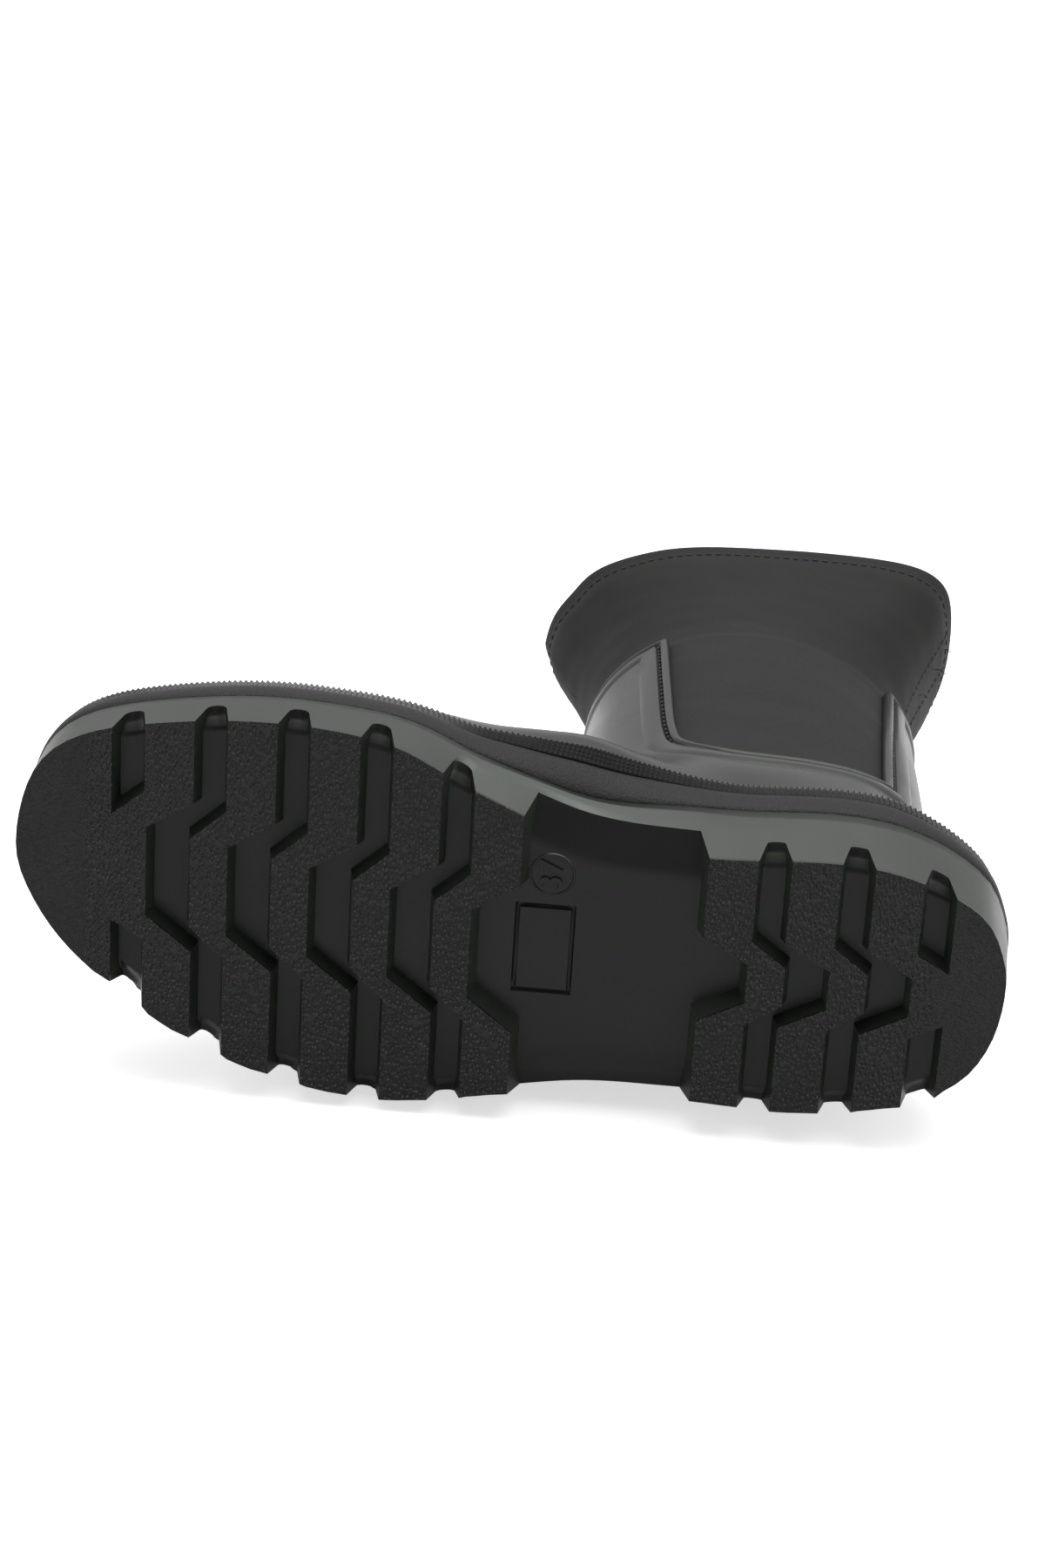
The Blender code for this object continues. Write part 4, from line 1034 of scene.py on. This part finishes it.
def borderRuns():
    # the shell's whole edge as runs between corners: inner window, back, outer window, front
    first, second = windowRuns()
    ring = skin(tabRow, 0.0)
    runs = {side: [[acrossPoint(y, z, side) for y, z in run] for run in (first, second)] for side in (1, -1)}
    middle = (shell["frontTop"] + shell["backTop"]) / 2

    def cap(start, end, behind):
        # the part of the level top edge between two corners
        picked = [p for p in ring if (p[1] > max(start.y, end.y) if behind else p[1] < min(start.y, end.y))]
        picked.sort(key=lambda p: math.atan2(p[0] - upper["centre"], (p[1] - middle) * (1 if behind else -1)))
        picked = picked if picked[0][0] * start.x > 0 else picked[::-1]
        picked = [p for p in picked if (Vector(p) - start).length > 0.002 and (Vector(p) - end).length > 0.002]
        return [start, *[Vector(p) for p in picked], end]

    medialFirst, medialSecond = runs[1]
    lateralFirst, lateralSecond = runs[-1]
    back = cap(medialSecond[-1], lateralSecond[-1], True)
    front = cap(lateralFirst[0], medialFirst[0], False)
    return [medialFirst, medialSecond, back, lateralSecond[::-1], lateralFirst[::-1], front]


def railGrid(profile):
    # points of the border: one row for each profile point, running the whole way round
    runs = [evenly(run, shell["step"]) for run in borderRuns()]
    facts = []
    for run in runs:
        tangents = np.gradient(run, axis=0)
        tangents /= np.linalg.norm(tangents, axis=1)[:, None]
        normals = np.array([tuple(outerTree.find_nearest(Vector(p))[1]) for p in run])
        for turn in range(6):
            normals[1:-1] = (normals[:-2] + normals[1:-1] + normals[2:]) / 3
        normals /= np.linalg.norm(normals, axis=1)[:, None]
        facts.append((run, tangents, np.cross(tangents, normals), distances(run)))
    halves = []
    for k in range(len(facts)):
        before, after = facts[k - 1], facts[k]
        t1, t2, b1 = before[1][-1], after[1][0], before[2][-1]
        turn = math.acos(max(-1, min(1, float(np.dot(t1, t2)))))
        halves.append(math.copysign(math.tan(turn / 2), float(np.dot(t2, b1))))
    rows = []
    for inset, height in profile:
        row = []
        for k, (run, tangents, inward, lengths) in enumerate(facts):
            start = inset * halves[k]
            end = lengths[-1] - inset * halves[(k + 1) % len(facts)]
            count = len(run) - 1
            made = []
            for n in range(count + 1):
                at = mix(start, end, n / count)
                inside = min(max(at, 0.0), lengths[-1])
                p, t, b = (readAt(inside, lengths, table) for table in (run, tangents, inward))
                spot = Vector(p + t * (at - inside) + b * inset)
                near, normal, _, _ = outerTree.find_nearest(spot)
                made.append([np.array(near), np.array(normal)])
            row.append(made)
        joined = []
        for k, made in enumerate(row):
            previous = row[k - 1]
            made[0][0] = (made[0][0] + previous[-1][0]) / 2
            made[0][1] = made[0][1] + previous[-1][1]
            joined += made[:-1]
        places = np.array([p for p, _ in joined])
        normals = np.array([n for _, n in joined])
        for turn in range(5):
            normals = (np.roll(normals, 1, axis=0) + normals * 2 + np.roll(normals, -1, axis=0)) / 4
        normals /= np.linalg.norm(normals, axis=1)[:, None]
        rows.append(places + normals * height)
    return rows


borderRows = railGrid(shell["border"])
edgeTree = KDTree(len(borderRows[0]))
for n, p in enumerate(railGrid(((0.0, 0.0),))[0]):
    edgeTree.insert(Vector(p), n)
edgeTree.balance()


def insideWindow(y, z, outlineYZ):
    # even-odd test against the side window, which is open at the top
    found = False
    for (y1, z1), (y2, z2) in zip(outlineYZ, np.roll(outlineYZ, -1, axis=0)):
        if (z1 > z) != (z2 > z) and y < y1 + (z - z1) / (z2 - z1) * (y2 - y1):
            found = not found
    return found


def makeShell():
    build = bmesh.new()
    ringsToBuild(build, [skin(row, 0.0) for row in range(tabRow + 1)])
    first, second = windowRuns()
    window = np.vstack([first, second[1:], [(shell["backTop"], 0.3), (shell["frontTop"], 0.3)]])
    build.normal_update()
    if sum(face.normal.dot(face.calc_center_median() - Vector(shell["insidePoint"])) for face in build.faces) < 0:
        bmesh.ops.reverse_faces(build, faces=build.faces)

    def covered(middle):
        return edgeTree.find(middle)[2] < shell["coverage"] or insideWindow(middle.y, middle.z, window)

    gone = [face for face in build.faces if covered(face.calc_center_median())]
    bmesh.ops.delete(build, geom=gone, context="FACES")
    return build


def makeBorder():
    # with the small moulding nub that stands behind the heel
    build = bmesh.new()
    closeRing(build, ringsToBuild(build, borderRows))
    near, out = outerTree.find_nearest(Vector(shell["nub"]))[:2]
    lump = bmesh.ops.create_uvsphere(build, u_segments=12, v_segments=8, radius=shell["nubRadius"])["verts"]
    bmesh.ops.translate(build, verts=lump, vec=near + out * shell["nubRadius"] * 0.5)
    return build


shellRubber = dusty("shellRubber", (0.0180, 0.0190, 0.0175), (0.0229, 0.0240, 0.0222), 0.30, 2200, 0.00002, 0.05,
                    **{"Specular Tint": (0.94, 1.0, 0.95, 1.0)})
shellPiece = makePiece("footShell", makeShell(), ["foot_shell"], shellRubber)
wall = shellPiece.modifiers.new("wall", "SOLIDIFY")
wall.thickness = shell["wall"]
wall.offset = -1.0
makePiece("shellBorder", makeBorder(), [], shellRubber)


# stitches

thread = {"length": 0.0022, "gap": 0.0010, "radius": 0.00036, "hemBelow": 0.0050, "hemLength": 0.0021,
          "hemGap": 0.0011, "hemShare": 0.85, "lift": 0.00012, "seamStep": 2,
          # loose ends up the back seam: rows below the hem, reach and droop; and their radius
          "looseEnds": ((9, 0.0046, -0.0006), (16, 0.0034, 0.0012), (3, 0.0022, 0.0004)), "looseRadius": 0.00016}


def stitch(build, middle, way, up, length, radius):
    # one short sunk thread, as a slim ellipsoid
    made = bmesh.ops.create_uvsphere(build, u_segments=6, v_segments=5, radius=1.0)["verts"]
    way, up = Vector(way).normalized(), Vector(up).normalized()
    side = way.cross(up).normalized()
    up = side.cross(way)
    turned = Matrix((side * radius, up * radius, way * length / 2)).transposed().to_4x4()
    bmesh.ops.transform(build, verts=made, matrix=Matrix.Translation(middle) @ turned)


def stitchLine(build, points, normals, length, radius, gap=thread["gap"], closed=True):
    # stitches of this length at even steps along the points
    points = [Vector(p) for p in points]
    if closed:
        points = points + [points[0]]
        normals = list(normals) + [normals[0]]
    table = np.array([tuple(p) for p in points])
    ups = np.array([tuple(n) for n in normals])
    at = distances(table)
    count = max(1, round(at[-1] / (length + gap)))
    for k in range(count):
        spots = [(k + share) / count * at[-1] for share in (0.1, 0.5, 0.9)]
        a, m, b = (Vector(readAt(spot, at, table)) for spot in spots)
        stitch(build, m, b - a, readAt(spots[1], at, ups), length, radius)


def makeCollarStitches():
    build = bmesh.new()
    row = railGrid((shell["groove"],))[0]
    normals = [outerTree.find_nearest(Vector(p))[1] for p in row]
    stitchLine(build, row, normals, thread["length"], thread["radius"])
    return build


threadMaterial = dusty("blackThread", (0.010, 0.010, 0.010), (0.020, 0.020, 0.019), 0.62, 5000, 0.00005)
makePiece("collarStitches", makeCollarStitches(), ["collar_stitching"], threadMaterial)


# fabric leg, its facing and linings

leg = {
    "outside": -0.0025, "inside": -0.0041, "liningOut": -0.0047, "liningIn": -0.0057, "facingDepth": 0.022,
    "frontFold": 0.0018, "foldAngle": 0.42, "foldWidth": 0.13, "foldStart": 0.186,
    "foldRise": 0.040, "hemRound": (0.0005, 0.0008), "tip": 1.3, "rumple": 0.00016,
}


def legWrinkles():
    # outward moves of the leg surface: the spout fold at the front of the hem and soft rumples
    moves = np.zeros(upperShape.shape[:2])
    for r in range(seamRow, hemRow + 1):
        for k in range(upper["columns"]):
            x, y, z = upperShape[r, k]
            rise = ease((z - leg["foldStart"]) / leg["foldRise"])
            turn = math.atan2(abs(x - upper["centre"]), -(y - 0.058))
            fold = math.exp(-((turn - leg["foldAngle"]) / leg["foldWidth"]) ** 2)
            tip = math.exp(-(turn / 0.20) ** 2)
            rumple = math.sin(z * 240 + 2.4 * math.sin(turn * 2.1 + (x > 0))) * math.sin(turn * 3 + z * 50)
            rumple += 0.5 * math.sin(z * 610 + 5 * turn) * math.sin(turn * 5 - z * 90 + 1)
            calm = ease((z - 0.080) / 0.03)
            moves[r, k] = rise * (leg["tip"] * tip - fold) * leg["frontFold"] + rumple * leg["rumple"] * calm
    return moves


legShape = upperShape + upperOut * legWrinkles()[..., None]


def legLoop(row, out, lift=0.0):
    found = skin(row, out, legShape).copy()
    found[:, 2] += lift
    return found


def makeLeg():
    build = bmesh.new()
    rows = list(range(seamRow - 2, hemRow + 1))
    outer = [legLoop(row, leg["outside"]) for row in rows]
    inner = [legLoop(row, leg["inside"]) for row in reversed(rows)]
    outside, inside, (shoulder, crown) = leg["outside"], leg["inside"], leg["hemRound"]
    fold = [legLoop(hemRow, outside - 0.0002, shoulder), legLoop(hemRow, (outside + inside) / 2, crown),
            legLoop(hemRow, inside + 0.0002, shoulder)]
    return closeRing(build, ringsToBuild(build, outer + fold + inner))


def insideRing(first, last, outside, inside):
    build = bmesh.new()
    rows = [first, *range(int(first) + 1, int(math.ceil(last))), last]
    loops = [legLoop(row, outside) for row in rows] + [legLoop(row, inside) for row in reversed(rows)]
    return closeRing(build, ringsToBuild(build, loops))


def rowBelowHem(distance):
    return hemRow - distance / (upper["hemHeight"] - upper["tabTop"]) * upper["hemRows"]


def makeHemStitches():
    build = bmesh.new()
    row = rowBelowHem(thread["hemBelow"])
    for out in (leg["outside"] + thread["lift"], leg["liningIn"] - thread["lift"]):
        stitchLine(build, legLoop(row, out), list(upperOut[int(row)]), thread["hemLength"],
                   thread["radius"] * thread["hemShare"], thread["hemGap"])
    return build


def makeBackSeam():
    # two lines of stitches beside the back seam, and its loose thread ends
    build = bmesh.new()
    back = int(np.argmax(legShape[hemRow, :, 1]))
    rows = list(range(tabRow - 1, hemRow - 2))
    for step in (-thread["seamStep"], thread["seamStep"]):
        points = [legLoop(row, leg["outside"] + 0.0001)[(back + step) % upper["columns"]] for row in rows]
        normals = [upperOut[row, back] for row in rows]
        stitchLine(build, points, normals, thread["length"], thread["radius"], closed=False)
    for below, reach, droop in thread["looseEnds"]:
        start = Vector(legLoop(hemRow - below, leg["outside"])[back])
        way = Vector(upperOut[hemRow - below, back])
        bits = [start + way * reach * t + Vector((0.0006 * math.sin(5 * t), 0, droop * t * t))
                for t in (0, 0.35, 0.7, 1.0)]
        for a, b in zip(bits, bits[1:]):
            stitch(build, (a + b) / 2, b - a, (1, 0, 0), (b - a).length * 1.25, thread["looseRadius"])
    return build


def linenWeave(name, low, high, pitch, depth, roughness, **sockets):
    # two crossing sets of fine ribs on a mottled ground
    made, tree, shader = newMaterial(name, low, roughness, **sockets)
    point = objectPoint(tree)
    ribs = [addNode(tree, "TexWave", "Fac", {
        "Scale": 0.314 / pitch, "Distortion": 1.2, "Detail": 1.0, "Detail Scale": 3.0, "Vector": point,
    }, bands_direction=direction) for direction in ("X", "Z")]
    weave = combine(tree, "MAXIMUM", *ribs)
    cloud = noise(tree, point, 70, 5)
    mottled = stretch(tree, cloud, 0.3, 0.7)
    tree.links.new(tint(tree, mottled, low, high), shader.inputs["Base Color"])
    tree.links.new(stretch(tree, cloud, 0.3, 0.7, roughness - 0.05, roughness + 0.05), shader.inputs["Roughness"])
    wave = bump(tree, noise(tree, point, 140, 3), 0.00025, 0.35)
    tree.links.new(bump(tree, weave, depth, 0.8, wave), shader.inputs["Normal"])
    return made


legCloth = linenWeave("coatedLegCloth", (0.0098, 0.0098, 0.0094), (0.0128, 0.0127, 0.0122), 0.00042, 0.00003, 0.66,
                      **{"Sheen Weight": 0.03, "Sheen Roughness": 0.5, "Specular IOR Level": 0.20})
liningCloth = linenWeave("knitLining", (0.0200, 0.0200, 0.0215), (0.0300, 0.0300, 0.0320), 0.00110, 0.00025, 0.90,
                         **{"Sheen Weight": 0.25})
facingRow = rowBelowHem(leg["facingDepth"])
makePiece("fabricLeg", makeLeg(), ["leg_fabric"], legCloth)
makePiece("hemFacing", insideRing(facingRow, hemRow, leg["liningOut"] + 0.0003, leg["liningIn"] + 0.0001),
          ["hem_facing"], legCloth)
makePiece("legLining", insideRing(seamRow - 2, facingRow - 0.1, leg["liningOut"], leg["liningIn"]),
          ["leg_lining"], liningCloth)
makePiece("hemStitches", makeHemStitches(), ["hem_stitching"], threadMaterial)
makePiece("backSeamStitches", makeBackSeam(), ["back_seam_stitching"], threadMaterial)


# inside the foot

foot = {
    "stiffenerOut": -0.0028, "stiffenerIn": -0.0040, "sockOut": -0.0043, "sockIn": -0.0054,
    "board": 0.0020, "sockFloor": 0.0011, "bedGap": 0.0004, "bedColumns": 180,
    "bedProfile": ((-0.0006, 0.0), (0.0, 0.0008), (0.0, 0.0030), (-0.0005, 0.0037), (-0.0014, 0.0040),
                   (-0.0045, 0.0040), (-0.0090, 0.0037)),
    # rows of the upper where these pieces start and the toe's ends, and columns to each side of the middle
    "firstRow": 2, "toeRow": 20, "toeColumns": 42, "heelColumns": 40, "tapeColumns": 6,
    "tapeOut": 0.0002, "tapeIn": 0.0008,
}


def skinPatch(rows, columns, outside, inside, shape=None):
    # a sheet over part of the upper, with an even thickness
    build = bmesh.new()
    sheets = [skin(row, outside, shape) for row in rows]
    line = [build.verts.new(sheets[0][c]) for c in columns]
    edges = [build.edges.new(pair) for pair in zip(line, line[1:])]
    for sheet in sheets[1:]:
        line = nextRow(build, edges, line, [sheet[c] for c in columns])
        edges = [build.edges.get(pair) for pair in zip(line, line[1:])]
    bmesh.ops.recalc_face_normals(build, faces=build.faces)
    sample = max(build.faces, key=lambda f: f.calc_area())
    out = Vector(upperOut[int(rows[len(rows) // 2])][columns[len(columns) // 2]])
    if sample.normal.dot(out) < 0:
        bmesh.ops.reverse_faces(build, faces=build.faces)
    bmesh.ops.solidify(build, geom=list(build.faces), thickness=outside - inside)
    bmesh.ops.recalc_face_normals(build, faces=build.faces)
    return build


def raisedRim(count, out, lift):
    return [(p.x, p.y, p.z + lift) for p in rimLoop(count, out - upper["inset"])]


def makeSock():
    # the lining of the foot, open at the top, with a floor on the insole board
    build = bmesh.new()
    rows = list(range(foot["firstRow"], seamRow))
    floor = 2 * upper["gap"] + foot["board"]
    outer = [raisedRim(upper["columns"], foot["sockOut"], floor)] + [skin(row, foot["sockOut"]) for row in rows]
    inner = [skin(row, foot["sockIn"]) for row in reversed(rows)]
    inner.append(raisedRim(upper["columns"], foot["sockIn"], floor + foot["sockFloor"]))
    return capEnds(build, ringsToBuild(build, outer + inner))


def makeFootbed():
    # a foam insole with a soft rounded edge and a slightly sunk middle
    build = bmesh.new()
    base = 3 * upper["gap"] + foot["board"] + foot["sockFloor"]
    edge = foot["sockIn"] - foot["bedGap"]
    loops = [raisedRim(foot["bedColumns"], edge + out, base + lift) for out, lift in foot["bedProfile"]]
    return capEnds(build, ringsToBuild(build, loops))


fibreBoard = dusty("fibreBoard", (0.230, 0.180, 0.115), (0.330, 0.265, 0.180), 0.84, 900, 0.00010)
foamGrey = dusty("moulderFoam", (0.060, 0.059, 0.055), (0.095, 0.093, 0.087), 0.88, 1300, 0.00022)
shankSteel = dusty("springSteel", (0.42, 0.42, 0.43), (0.55, 0.55, 0.56), 0.34, 1800, 0.00001, 0.10, Metallic=1.0)
tapeCloth = linenWeave("seamTapeCloth", (0.0150, 0.0150, 0.0155), (0.0210, 0.0210, 0.0215), 0.00060, 0.00008, 0.80)
heelColumn = int(np.argmax(upperShape[seamRow, :, 1]))


def columnsRound(middle, reach):
    return [k % upper["columns"] for k in range(middle - reach, middle + reach + 1)]


for name, node, middle, reach, top in (
        ("toeStiffener", "toe_reinforcement", 0, foot["toeColumns"], foot["toeRow"]),
        ("heelStiffener", "heel_reinforcement", heelColumn, foot["heelColumns"], seamRow)):
    rows = range(foot["firstRow"], top)
    patch = skinPatch(rows, columnsRound(middle, reach), foot["stiffenerOut"], foot["stiffenerIn"])
    makePiece(name, patch, [node], fibreBoard)
makePiece("footLining", makeSock(), ["foot_lining"], liningCloth)
footbedPiece = makePiece("footbedPad", makeFootbed(), ["footbed"], liningCloth)
tape = skinPatch(range(seamRow, hemRow), columnsRound(heelColumn, foot["tapeColumns"]),
                 leg["liningIn"] - foot["tapeOut"], leg["liningIn"] - foot["tapeIn"], legShape)
makePiece("backSeamTape", tape, ["back_seam_tape"], tapeCloth)
for node, finish in (("insole_board", fibreBoard), ("sole_filler", foamGrey), ("heel_plug", foamGrey),
                     ("shank", shankSteel)):
    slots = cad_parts[node].data.materials
    slots.clear()
    slots.append(finish)
print("inner pieces ready")
